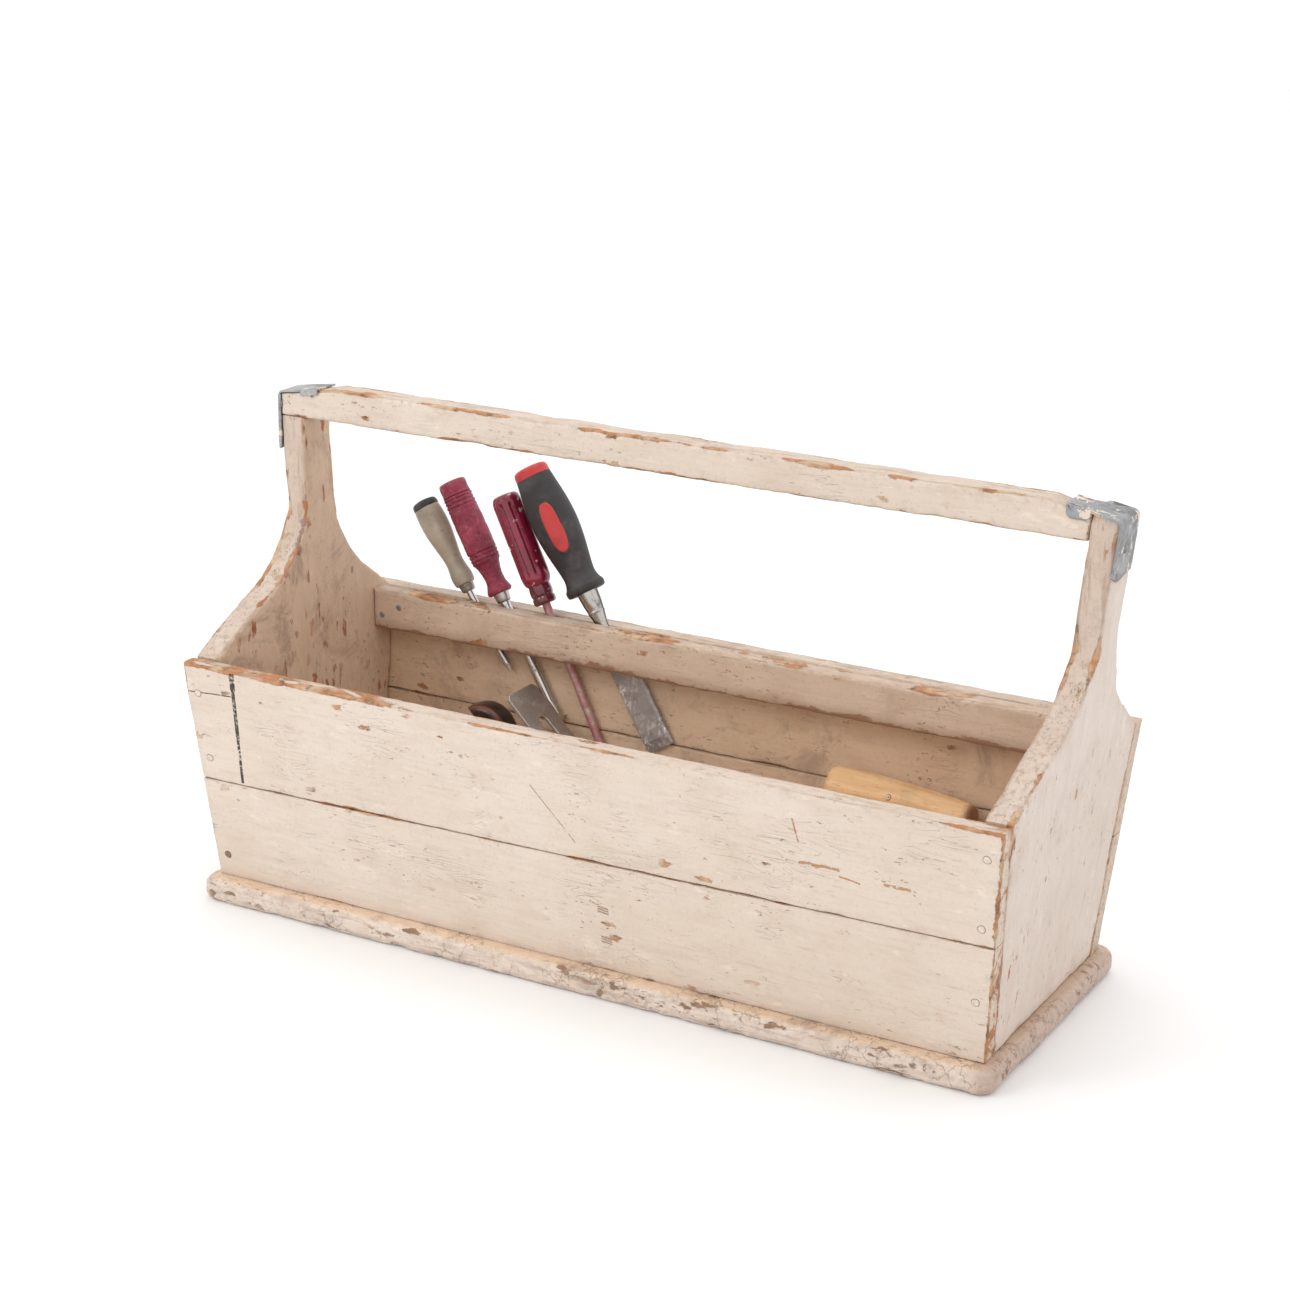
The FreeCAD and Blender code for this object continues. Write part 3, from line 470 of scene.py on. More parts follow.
class PaintedWood:
    """Old cream paint over orange wood, laid down layer by layer.

    grain is the stretch of the wood's figure along X, Y and Z. dirt, wear and chips say how much
    there is of each, crust how thick the grime lies and rust how red the inner face's chips are.
    worn_ends bares the left of the top edge and the right end, and grime gathers below the height
    sill, in metres. The fields near, edge, side and inside say where on a board a place is."""

    def __init__(self, name, grain, cream=CREAM, dirt=0.3, wear=0.5, chips=0.5, crust=0, rust=0,
                 marks=(), worn_ends=False, sill=None):
        self.g = g = Graph(name, cream)
        self.grain, self.cream, self.dirt, self.wear, self.chips = grain, cream, dirt, wear, chips
        self.crust, self.rust, self.marks, self.worn_ends, self.sill = crust, rust, marks, worn_ends, sill
        self.fibre = g.stretch(*grain)
        self.short = g.stretch(*eased(grain, 0.42))
        self.figure = g.noise(300, 5, 0.62, self.fibre, 0.4)
        self.blotch = g.noise(26, 5, 0.62)
        self.grit = g.noise(390, 5, 0.74)
        self.torn = g.noise(52, 9, 0.7, self.short, 0.6)
        self.edge, self.near = g.attribute("wear"), g.attribute("near")
        self.side = g.step(self.near, 0.85, 1)
        self.inside = g.step(g.attribute("inner"), 0.85, 0.99)

    def brush_coat(self):
        """Brushed paint: broad and streaky shades, the wood's figure, grit and fresher patches, then painted
        shade on the inner faces.
        """
        g, cream, dirt = self.g, self.cream, self.dirt
        g.lay(g.patch(6, 3, 0.5, 0.35, 0.68), tinted(cream, 0.95, 0.93, 0.91))
        streaky = g.step(g.noise(55, 5, 0.65, self.short), 0.42, 0.7, 0, 0.3 + dirt * 0.3)
        g.lay(streaky, tinted(cream, 0.84, 0.78, 0.72))
        g.lay(g.step(self.figure, 0.42, 0.78, 0, 0.26), tinted(cream, 0.66))
        g.lay(g.step(self.grit, 0.54, 0.68, 0, 0.22 + dirt * 0.35), TAN_GRIME)
        fresh = g.step(g.noise(80, 6, 0.68, self.short), 0.61, 0.66, 0, 0.5)
        g.lay(fresh, tuple(min(0.9, c) for c in tinted(cream, 1.12)))
        # Painted shade: the inner faces turn darker and browner, as shade falls inside the box.
        g.lay(self.inside, INSIDE_SHADE, "MULTIPLY")

    def soil(self):
        """Stains on the inner face, soiled edges, streaks along the grain and dark side faces."""
        g, near, side, dirt = self.g, self.near, self.side, self.dirt
        stained = g.step(g.noise(14, 8, 0.74, None, 0.8), 0.5, 0.64, 0, 0.62)
        g.lay(g.times(stained, self.inside), (0.34, 0.235, 0.175))
        soiled = g.step(g.plus(self.blotch, g.times(near, 0.05 + dirt * 0.1)), 0.64 - dirt * 0.22, 0.84)
        g.lay(g.times(soiled, 0.3 + dirt * 0.55), TAN_GRIME)
        streak = g.noise(120, 6, 0.7, g.stretch(*eased(self.grain, 0.1, 1.6)))
        g.lay(g.step(streak, 0.6, 0.74, 0, 0.24 + dirt * 0.3), (0.4, 0.28, 0.2))
        rubbed = g.times(near, g.patch(150, 7, 0.75, 0.48, 0.64))
        g.lay(g.times(rubbed, 0.24 + dirt * 0.3), GREY_GRIME)
        g.lay(g.times(side, 0.18 + dirt * 0.42), (0.52, 0.375, 0.27))
        lined = g.step(g.noise(210, 6, 0.72, self.fibre), 0.5, 0.62, 0, 0.28 + dirt * 0.7)
        g.lay(g.times(side, lined), (0.34, 0.24, 0.17))

    def cake_and_shade_right_end(self):
        """Caked grime, cracked near the edges, and the box's right end made browner with painted shade where
        light falls off, together with grime.
        """
        g, crust = self.g, self.crust
        g.lay(g.step(g.noise(75, 8, 0.74, self.short), 0.5, 0.66, 0, crust), (0.38, 0.27, 0.215))
        # Painted shade with grime: the paint is darker and browner beyond 0.325 m to the right, at the box's
        # right end.
        g.lay(g.step(g.split()[0], 0.325, 0.345, 0, 0.62), (0.45, 0.315, 0.25))
        crack = g.cells(62, g.warped(0.02, 70), "DISTANCE_TO_EDGE")
        crack = g.times(g.step(crack, 0.045, 0.012), g.patch(24, 4, 0.5, 0.46, 0.56, 0, crust * 2))
        g.lay(g.times(crack, g.step(self.near, 0.05, 0.35)), (0.2, 0.13, 0.09))

    def bare_field(self):
        """Noise that passes BARE_LEVEL where the paint has worn off, mostly on arrises."""
        g = self.g
        patchy = g.patch(9, 2, 0.5, 0.44, 0.6, 0, 0.24 * self.wear)
        lift = g.times(self.edge, g.plus(0.13, patchy))
        if self.worn_ends:
            across, _, up = g.split()
            leftward = g.times(g.step(across, -0.06, -0.24), g.step(up, 0.186, 0.198, 0.3, 1))
            ends = g.plus(leftward, g.step(across, 0.29, 0.33, 0, 0.75))
            lift = g.plus(lift, g.times(ends, g.times(self.near, 0.27)))
        lift = g.plus(lift, g.times(self.side, g.times(patchy, 0.35)))
        return g.plus(self.torn, lift)

    def chip(self, worn):
        """Where bare wood shows, by wear or in a chip, and where fine dark specks are."""
        g, chips = self.g, self.chips
        broken = g.warped(0.005, 420, g.warped(0.014, 90, self.short))
        share = g.plus(0.04 * chips, g.times(self.near, 0.12 * chips))
        large = g.spots(62, broken, share, 0.17)
        small = g.spots(135, broken, g.times(share, 1.8), 0.34, 0.04)
        gate = g.patch(19, 3, 0.6, 0.44, 0.58)
        speck_share = g.plus(0.15 * chips, g.times(g.plus(self.inside, self.near), 0.14))
        specks = g.times(g.spots(400, g.warped(0.009, 330, self.short), speck_share, 0.31, 0.08), gate)
        hollow = g.most(worn, g.times(large, g.step(self.grit, 0.36, 0.5)))
        hollow = g.most(hollow, g.times(small, gate))
        if self.rust:
            flakes = g.times(g.spots(150, broken, 0.75 * self.rust, 0.36, 0.04), self.inside)
            flakes = g.times(flakes, g.patch(16, 3, 0.6, 0.4, 0.56))
            hollow = g.most(hollow, flakes)
        return hollow, specks

    def gather(self):
        """Grime along a lower edge, with a ragged brown border."""
        g, sill = self.g, self.sill
        up = g.plus(g.split()[2], g.times(g.noise(140, 6, 0.7, self.short), -0.008))
        g.lay(g.step(up, sill + 0.002, sill - 0.008, 0, 0.4), (0.3, 0.19, 0.12))
        flaky = g.plus(up, g.times(self.torn, -0.02))
        g.lay(g.step(flaky, sill - 0.0165, sill - 0.0185, 0, 0.8), (0.27, 0.125, 0.065))

    def wood_tone(self):
        """Colour of the bare wood."""
        g = self.g
        tone = g.mix(g.patch(34, 3, 0.6, 0.42, 0.62), RAW_WOOD, PALE_WOOD)
        tone = g.mix(g.step(self.figure, 0.45, 0.75), tone, (0.3, 0.155, 0.08))
        tone = g.mix(g.patch(90, 4, 0.6, 0.5, 0.68, 0, 0.8), tone, DARK_GRIME)
        if self.rust:
            red = g.times(g.patch(14, 2, 0.5, 0.4, 0.55, 0.2, self.rust), self.inside)
            tone = g.mix(red, tone, (0.4, 0.12, 0.07))
            grey = g.minus(g.patch(11, 2, 0.5, 0.57, 0.63), self.inside, clamp=True)
            tone = g.mix(grey, tone, (0.26, 0.25, 0.26))
        if self.crust:
            tone = g.mix(0.75, tone, (0.27, 0.18, 0.12))
        return tone

    def score(self):
        """Hair scratches, then the marks on the outer face. Returns how deep they go."""
        g = self.g
        scratch = g.noise(55, 1, 0.4, g.stretch(*eased(self.grain, 0.3, 2.2)), 2)
        thin = g.step(g.math("ABSOLUTE", g.minus(scratch, 0.5)), 0.0045, 0.0015)
        thin = g.times(thin, g.patch(17, 2, 0.5, 0.53, 0.6))
        g.lay(g.times(thin, 0.55), (0.3, 0.18, 0.11))
        groove = g.times(thin, -0.5)
        for first, last, width, color, depth in self.marks:
            wobble = g.times(g.minus(g.noise(90, 5, 0.7), 0.5), width * 2.6)
            mask = g.times(g.stroke(first, last, width, wobble), g.patch(230, 5, 0.78, 0.37, 0.5))
            mask = g.minus(mask, self.inside, clamp=True)
            g.lay(mask, color)
            groove = g.plus(groove, g.times(mask, -depth))
        return groove

    def material(self):
        g = self.g
        self.brush_coat()
        self.soil()
        if self.crust:
            self.cake_and_shade_right_end()
        field = self.bare_field()
        hollow, specks = self.chip(g.step(field, BARE_LEVEL, BARE_LEVEL + 0.014))
        if self.sill:
            self.gather()
        rim = g.step(field, BARE_LEVEL - 0.045, BARE_LEVEL)
        g.lay(g.times(rim, 0.4), (0.46, 0.33, 0.23))
        arris = g.times(g.step(self.edge, 0.55, 1), g.step(g.noise(130, 5, 0.7, self.short), 0.4, 0.6))
        g.lay(g.times(arris, 0.25 + self.dirt * 0.6), (0.33, 0.22, 0.15))
        g.lay(hollow, self.wood_tone())
        g.lay(g.times(specks, 0.75), (0.24, 0.15, 0.1))
        groove = self.score()
        height = g.total((self.figure, 0.22), (g.noise(900, 3, 0.6, self.fibre), 0.1), (hollow, -0.6),
                         (g.noise(60, 4, 0.6), 0.35), (self.grit, 0.42 + self.crust * 0.6))
        rough = g.mix(hollow, (0.5, 0.5, 0.5), (0.8, 0.8, 0.8))
        rough = g.plus(rough, g.times(g.minus(self.blotch, 0.5), 0.35))
        return g.finish(rough, g.bump(g.plus(height, groove), 0.001, 0.8), specular=0.38)


def painted_wood(name, grain, **options):
    return PaintedWood(name, grain, **options).material()


# -------- other materials

def bare_wood(name, light, dark, grain, rough=0.55, flecks=0.6, bump=0.0004):
    """Unpainted hardwood with figure, fine pores and flecks, burnt where wear is high."""
    g = Graph(name, light)
    fibre = g.stretch(*grain)
    figure = g.noise(120, 4, 0.55, fibre, 1.2)
    fleck = g.cells(520, g.stretch(*eased(grain, 0.25)))
    g.lay(g.step(figure, 0.35, 0.68), dark)
    pitted = g.step(g.noise(900, 2, 0.6, fibre), 0.62, 0.7)
    g.lay(g.times(pitted, 0.5), tinted(dark, 0.45))
    g.lay(g.times(g.step(fleck, 0.2, 0.1), flecks), tinted(dark, 0.62))
    g.lay(g.patch(30, 4, 0.6, 0.55, 0.75, 0, 0.25), (0.28, 0.2, 0.13))
    burnt = g.plus(g.attribute("wear"), g.times(g.noise(90, 5, 0.7), 0.6))
    g.lay(g.step(burnt, 0.72, 1.15, 0, 0.85), (0.17, 0.055, 0.03))
    height = g.minus(g.times(figure, 0.3), g.times(pitted, 0.5))
    return g.finish(rough, g.bump(height, bump, 0.7), specular=0.4, coat=0.08, coat_rough=0.3)


def sheet_metal(name, light, paint, rust):
    """Dull zinc-coated sheet with spangle, dirt, rust and patches of the box's paint."""
    g = Graph(name, light)
    g.lay(g.split(g.cells(95, output="Color"))[0], tinted(light, 0.8))
    stain = g.patch(60, 6, 0.65, 0.42, 0.66)
    g.lay(g.times(stain, 0.75), (0.21, 0.2, 0.2))
    rusty = g.patch(95, 6, 0.7, 0.66 - rust * 0.1, 0.74, 0, 0.8)
    g.lay(rusty, (0.2, 0.09, 0.04))
    patches = g.plus(g.noise(105, 7, 0.72), g.times(g.noise(26), 0.5))
    marked = g.step(patches, 0.9 - paint * 0.2, 0.915 - paint * 0.2)
    g.lay(marked, (0.72, 0.6, 0.48))
    metal = g.minus(0.92, g.times(g.most(marked, rusty), 0.9))
    rough = g.plus(0.34, g.times(g.plus(stain, g.noise(400, 3, 0.6, g.stretch(*ALONG_X))), 0.14))
    height = g.total((marked, 0.8), (g.noise(140, 4), 0.5))
    return g.finish(rough, g.bump(height, 0.0004, 0.6), metal=metal)


def steel(name, color, rough=0.2, dirt=0.3, along=(1, 1, 1), stain=(0.1, 0.08, 0.07), scratches=0.5,
          shaded_sides=False):
    """Ground or plated steel with scratches and stains; the last option adds painted shade, a dark brown
    reflection, where the wear value is high.
    """
    g = Graph(name, color)
    hair = g.noise(900, 3, 0.7, g.stretch(*along))
    patch = g.patch(70, 6, 0.7, 0.62 - dirt * 0.25, 0.72)
    bright = tuple(min(1, c) for c in tinted(color, 1.45))
    g.lay(g.step(hair, 0.3, 0.8, 0, scratches), bright)
    g.lay(g.times(patch, 0.85), stain)
    if shaded_sides:
        # Painted reflection: dark brown where the wear value is high, which on the chisel's neck means its
        # sides as seen from the camera.
        side_shade = g.step(g.plus(g.attribute("wear"), g.times(hair, 0.3)), 0.35, 0.85)
        g.lay(side_shade, (0.1, 0.07, 0.055))
    metal = g.minus(1, g.times(patch, 0.6))
    rougher = g.plus(rough, g.total((patch, 0.35), (hair, 0.12)))
    return g.finish(rougher, g.bump(hair, 0.0002, 0.4), metal=metal)


def worn_blade(name):
    """Grey blade steel with pale scratched specks and brown stains."""
    g = Graph(name, (0.46, 0.44, 0.44))
    g.lay(g.patch(50, 6, 0.68, 0.36, 0.66), (0.33, 0.31, 0.31))
    flecks = g.noise(330, 7, 0.78, g.stretch(1, 1, 0.5))
    bright = g.times(g.step(flecks, 0.51, 0.58), g.patch(38, 4, 0.5, 0.36, 0.54))
    g.lay(bright, (0.8, 0.8, 0.82))
    g.lay(g.patch(110, 6, 0.7, 0.56, 0.7, 0, 0.6), (0.15, 0.1, 0.08))
    rough = g.minus(0.56, g.times(bright, 0.2))
    return g.finish(rough, g.bump(g.noise(260, 5, 0.7), 0.0003, 0.6), metal=0.55)


def dusty_plastic(name):
    """Old beige handle, greyed by dust, pitted and lightly scraped."""
    g = Graph(name, (0.46, 0.395, 0.305))
    g.lay(g.patch(38, 5, 0.62, 0.35, 0.68), (0.34, 0.29, 0.22))
    pits = g.spots(420, g.warped(0.006, 300), 0.18, 0.3, 0.05)
    g.lay(g.times(pits, 0.5), (0.17, 0.14, 0.11))
    g.lay(g.patch(160, 7, 0.75, 0.6, 0.68, 0, 0.6), (0.56, 0.5, 0.42))
    grimy = g.patch(75, 5, 0.7, 0.56, 0.72, 0, 0.55)
    g.lay(grimy, (0.16, 0.13, 0.1))
    height = g.minus(g.noise(200, 5, 0.7), g.times(pits, 0.6))
    return g.finish(g.plus(0.4, g.times(grimy, 0.4)), g.bump(height, 0.0005, 0.8))


def rubber(name):
    """Black grip rubber with dust and a few specks of paint."""
    g = Graph(name, (0.036, 0.033, 0.035))
    dusty = g.patch(45, 6, 0.65, 0.45, 0.75)
    g.lay(g.times(dusty, 0.65), (0.125, 0.105, 0.105))
    speck = g.times(g.step(g.cells(95), 0.1, 0.07), g.patch(30, 4, 0.5, 0.6, 0.66))
    g.lay(speck, (0.62, 0.55, 0.5))
    rough = g.plus(0.5, g.times(dusty, 0.2))
    return g.finish(rough, g.bump(g.noise(1600, 2, 0.5), 0.0002, 0.5), specular=0.35)


def red_painted_handle(name):
    """Crimson paint on turned wood, rubbed pale and dirty."""
    g = Graph(name, (0.25, 0.02, 0.05))
    g.lay(g.patch(30, 4, 0.5, 0.4, 0.65), (0.38, 0.04, 0.085))
    g.lay(g.patch(210, 6, 0.75, 0.52, 0.66, 0, 0.45), (0.5, 0.18, 0.22))
    pale = g.plus(g.noise(95, 8, 0.74), g.times(g.attribute("wear"), 0.08))
    pale = g.step(pale, 0.665, 0.69)
    g.lay(pale, (0.58, 0.47, 0.36))
    dark = g.patch(140, 6, 0.75, 0.55, 0.68)
    g.lay(g.times(dark, 0.75), (0.075, 0.012, 0.022))
    height = g.minus(g.noise(190, 7, 0.75), g.times(pale, 0.4))
    rough = g.plus(0.26, g.times(g.noise(75, 7, 0.72), 0.3))
    return g.finish(rough, g.bump(height, 0.0016, 0.9))


def dark_red_plastic(name):
    """Glossy dark red handle plastic with splashes of paint, dirtier on the collar."""
    g = Graph(name, (0.2, 0.006, 0.028))
    g.lay(g.patch(40, 4, 0.6, 0.4, 0.7), (0.33, 0.014, 0.055))
    splash = g.spots(190, g.warped(0.006, 220), 0.2, 0.42, 0.05)
    splash = g.times(splash, g.patch(48, 2, 0.5, 0.44, 0.54))
    g.lay(splash, (0.7, 0.6, 0.48))
    g.lay(g.patch(170, 6, 0.74, 0.55, 0.68, 0, 0.6), (0.055, 0.01, 0.018))
    collar = g.times(g.attribute("wear"), g.patch(160, 5, 0.7, 0.36, 0.62, 0.35, 0.9))
    g.lay(collar, (0.08, 0.022, 0.025))
    rough = g.plus(0.12, g.times(g.noise(90, 5), 0.26))
    height = g.plus(g.noise(240, 5), g.times(splash, 0.8))
    return g.finish(rough, g.bump(height, 0.0004, 0.6), specular=0.6, coat=0.35)


def gloss_red(name):
    """Bright red handle plastic with scuffs."""
    g = Graph(name, (0.56, 0.04, 0.038))
    g.lay(g.patch(60, 5, 0.6, 0.5, 0.75), (0.42, 0.028, 0.03))
    scuff = g.patch(190, 6, 0.7, 0.66, 0.7)
    g.lay(g.times(scuff, 0.6), (0.14, 0.02, 0.02))
    return g.finish(0.36, g.bump(g.noise(500, 3), 0.0001, 0.4))


def painted_head(name, ring, face=CREAM):
    """Nail head under the paint: the face takes the paint's colour and a dark line runs round it."""
    g = Graph(name, face)
    dirty = g.patch(500, 4, 0.7, 0.45, 0.65)
    g.lay(g.times(dirty, 0.35), TAN_GRIME)
    g.lay(g.times(g.step(g.attribute("wear"), 0.35, 0.8), ring), (0.1, 0.07, 0.055))
    return g.finish(0.6, g.bump(dirty, 0.0002, 0.5), specular=0.35)


# -------- the wooden box

ORANGE = (0.5, 0.25, 0.115)
BLACK_LINE = (0.035, 0.03, 0.03)
CRACK = (0.1, 0.06, 0.04)
# Each mark: first place (x, z), last place, width, colour and depth.
FRONT_MARKS = (
    ((-297, 207), (-297.4, 199), 4.6, (0.12, 0.05, 0.035), 0.2),
    ((-297.4, 205), (-299.6, 152), 3.1, BLACK_LINE, 0),
    ((-299.8, 151), (-301.4, 113.5), 2.3, BLACK_LINE, 0),
    ((-348, 187), (-301, 190), 0.5, CRACK, 0.8),
    ((197.7, 154.9), (227.7, 155.3), 1.9, ORANGE, 0.5),
    ((229, 150), (244, 148), 1, ORANGE, 0.4),
    ((264.2, 150.8), (283.4, 152.1), 1.6, ORANGE, 0.5),
    ((193, 189), (197, 172), 1, ORANGE, 0.4),
    ((-26.5, 169.5), (8.8, 128.4), 0.3, (0.34, 0.24, 0.18), 0.4),
)
KNOTS = ((28.3, 73.5), (29.5, 47.2))
KNOT_MARKS = tuple(((x - 4, z + rise), (x + 4, z + rise - 1), 0.9, (0.4, 0.27, 0.19), 0.6)
                   for x, z in KNOTS for rise in (-2.2, 0, 2.2))


def build_wall(side, left_seam, right_seam, top, lay, paint, radii, seeds):
    """Two planks, one on the other, with a thin gap between them."""
    lower = outline((left_at(BASE_TOP), BASE_TOP), [
        (right_at(BASE_TOP), BASE_TOP),
        (right_at(right_seam), right_seam - SEAM_GAP),
        (left_at(left_seam), left_seam - SEAM_GAP),
    ])
    upper = outline((left_at(left_seam), left_seam + SEAM_GAP), [
        (right_at(right_seam), right_seam + SEAM_GAP),
        (right_at(top), top),
        (left_at(top), top),
    ])
    planks = zip(("lower", "upper"), (lower, upper), (0.55, 1), radii, seeds)
    for level, points, wear, radius, seed in planks:
        plank = prism("%s_%s_plank" % (side, level), points, BOARD, lay, radius, wear, seed)
        done(plank, "toolbox", paint, "%s_%s_board" % (side, level))


def build_front_wall():
    paint = painted_wood("front_paint", ALONG_X, dirt=0.25, wear=0.7, chips=0.8,
                         marks=FRONT_MARKS + KNOT_MARKS, worn_ends=True)
    build_wall("front", seam_at(LEFT_FOOT), seam_at(RIGHT_FOOT), FRONT_TOP,
               lambda u, v, t: (u, front_at(v) + t, v), paint, (0.7, 1.3), (2, 3))


def build_back_wall():
    paint = painted_wood("back_paint", ALONG_X, dirt=0.6, wear=0.7, chips=1.2)
    build_wall("back", BACK_SEAM, BACK_SEAM, BACK_TOP,
               lambda u, v, t: (u, back_at(v) - t, v), paint, (1, 1.6), (5, 6))


def end_outline(top):
    """End board seen from the side: sloping shoulders and hollow curves up to the post."""
    shoulder_front, shoulder_back = FRONT_TOP + 1.5, BACK_TOP + 1
    return outline((front_at(BASE_TOP) + BOARD, BASE_TOP), [
        (back_at(BASE_TOP) - BOARD, BASE_TOP),
        (back_at(shoulder_back) - BOARD, shoulder_back),
        (POST_BACK + 43, shoulder_back + 27),
        ((POST_BACK + 13.5, shoulder_back + 59), (POST_BACK, shoulder_back + 101)),
        (POST_BACK, top),
        (POST_FRONT, top),
        (POST_FRONT, shoulder_front + 89),
        ((POST_FRONT - 23, shoulder_front + 56), (POST_FRONT - 67, shoulder_front + 30.5)),
        (front_at(shoulder_front) + BOARD, shoulder_front),
    ])


def build_ends():
    def lay_left(u, v, t):
        return left_at(v) + t, u, v

    def lay_right(u, v, t):
        """The right post's top slants down towards the outside."""
        slope = max(0, (v - SLANT_START) / (RIGHT_POST_TOP - SLANT_START)) * SLANT
        return right_at(v) - t, u, v - (END - t) * slope

    paint = painted_wood("end_paint", UP_Z, cream=(0.7, 0.595, 0.525), dirt=0.4, wear=1.15, chips=1.3,
                         rust=0.5)
    sides = (("left", LEFT_POST_TOP, lay_left, 8), ("right", RIGHT_POST_TOP, lay_right, 9))
    for side, top, lay, seed in sides:
        panel = prism(side + "_end_panel", end_outline(top), END, lay, radius=2.6, seed=seed)
        done(panel, "toolbox", paint, side + "_end_board")


def build_base():
    half_x, half_y, corner = 350, 132, 15
    middle = corner * (1 - math.sqrt(0.5))
    steps = []
    for across, up in ((1, -1), (1, 1), (-1, 1), (-1, -1)):
        flat_end = (across * (half_x - corner), up * half_y)
        bend = (across * (half_x - middle), up * (half_y - middle))
        side_end = (across * half_x, up * (half_y - corner))
        start, finish = (flat_end, side_end) if across * up < 0 else (side_end, flat_end)
        steps += [start, (bend, finish)]
    plan = outline(steps[-1][1], steps)
    paint = painted_wood("base_paint", ALONG_X, cream=(0.85, 0.745, 0.665), dirt=0.15, wear=0.3, chips=1.6,
                         crust=0.26)
    board = prism("base_plank", plan, BASE_TOP, lambda u, v, t: (u, v, t), radius=7, wear=0.5, seed=11,
                  rounds=6)
    done(board, "toolbox", paint, "base_board")


def build_bar():
    left, bottom = left_at(LEFT_POST_TOP), LEFT_POST_TOP
    right_low = right_at(bottom) - END - FIT
    right_high = right_at(RIGHT_POST_TOP) - END - FIT
    points = outline((left, bottom), [
        (right_low, bottom),
        (right_high, RIGHT_POST_TOP),
        (right_high - BAR_RIGHT_RUN, BAR_TOP - 3.5),
        (right_high - 34, BAR_TOP),
        (left + 50, BAR_TOP),
        (left + BAR_LEFT_RUN, BAR_TOP - BAR_LEFT_DROP),
        (left, BAR_TOP - BAR_LEFT_END_DROP),
    ])
    depth = high("handle_bar").y - POST_FRONT
    paint = painted_wood("rail_paint", ALONG_X, dirt=0.35, wear=1.25, chips=1.2)
    bar = prism("rail", points, depth, behind(POST_FRONT), radius=2.4, seed=13, rounds=4)
    done(bar, "toolbox", paint, "handle_bar")


def build_rack():
    front, rear = low("rack_strip").y, high("rack_strip").y
    bottom, top = low("rack_strip").z, high("rack_strip").z
    inner, block_wide, block_deep = END + FIT, 35, 14
    strip = outline((left_at(bottom) + inner, bottom), [
        (right_at(bottom) - inner, bottom),
        (right_at(top) - inner, top),
        (left_at(top) + inner, top),
    ])
    paint = painted_wood("rack_paint", ALONG_X, cream=(0.71, 0.56, 0.44), dirt=0.6, wear=0.8, chips=1.5,
                         sill=bottom * MM + 0.007)
    plank = prism("rack_plank", strip, rear - front, behind(front), radius=2, seed=17)
    done(plank, "toolbox", paint, "rack_strip")

    def lay(u, v, t):
        """A spacer's back leans with the wall behind it."""
        return u, rear + t / block_deep * (back_at(v) - BOARD - rear), v

    for name, side, edge in (("left_spacer", -1, left_at), ("right_spacer", 1, right_at)):
        bottom, top = low(name).z, high(name).z
        block = outline((edge(bottom) - side * inner, bottom), [
            (edge(top) - side * inner, top),
            (edge(top) - side * (inner + block_wide), top),
            (edge(bottom) - side * (inner + block_wide), bottom),
        ])
        spacer = prism(name + "_block", block, block_deep, lay, radius=0.8, wear=0.6, seed=19 + side)
        done(spacer, "toolbox", paint, name)


# -------- straps and nails

def strap_outline(inner_end, bend, foot, radius, side):
    """L-shaped strap seen from the front, with a rounded outer corner."""
    rise = (inner_end[1] - bend[1]) / abs(inner_end[0] - bend[0])
    lean = (bend[0] - foot[0]) / (bend[1] - foot[1])
    start = (bend[0] - side * radius, bend[1] + rise * radius)
    leg = (bend[0] - lean * radius, bend[1] - radius)
    middle = (bend[0] - side * radius * 0.29, bend[1] - radius * 0.29 + rise * radius * 0.3)
    inner_middle = (middle[0] - side * STRAP * 0.71, middle[1] - STRAP * 0.71)
    return outline(inner_end, [
        start,
        (middle, leg),
        foot,
        (foot[0] - side * STRAP, foot[1]),
        (leg[0] - side * STRAP, leg[1] - STRAP * 0.2),
        (inner_middle, (start[0] - side * STRAP * 0.2, start[1] - STRAP)),
        (inner_end[0], inner_end[1] - STRAP),
    ], 2)


def strap_solid(name, points, width, lay, seed):
    """Sheet strap: an L outline swept across its width, slightly dented."""
    mesh = bmesh.new()
    worn = mesh.verts.layers.float.new("wear")
    count = max(6, int(width / 1.5))
    rings = []
    for k in range(count + 1):
        t = width * k / count
        ring = []
        for u, v in points:
            dent = ragged((u, v, t), 12, seed) * 0.35
            x, y, z = lay(u, v, t)
            vertex = mesh.verts.new(Vector((x + dent * 0.5, y, z + dent * 0.5)) * MM)
            vertex[worn] = 1 if k in (0, count) else 0
            ring.append(vertex)
        rings.append(ring)
    join_rings(mesh, rings)
    mesh.faces.new(rings[0][::-1])
    mesh.faces.new(rings[-1])
    return finish_mesh(name, mesh, angle=50)


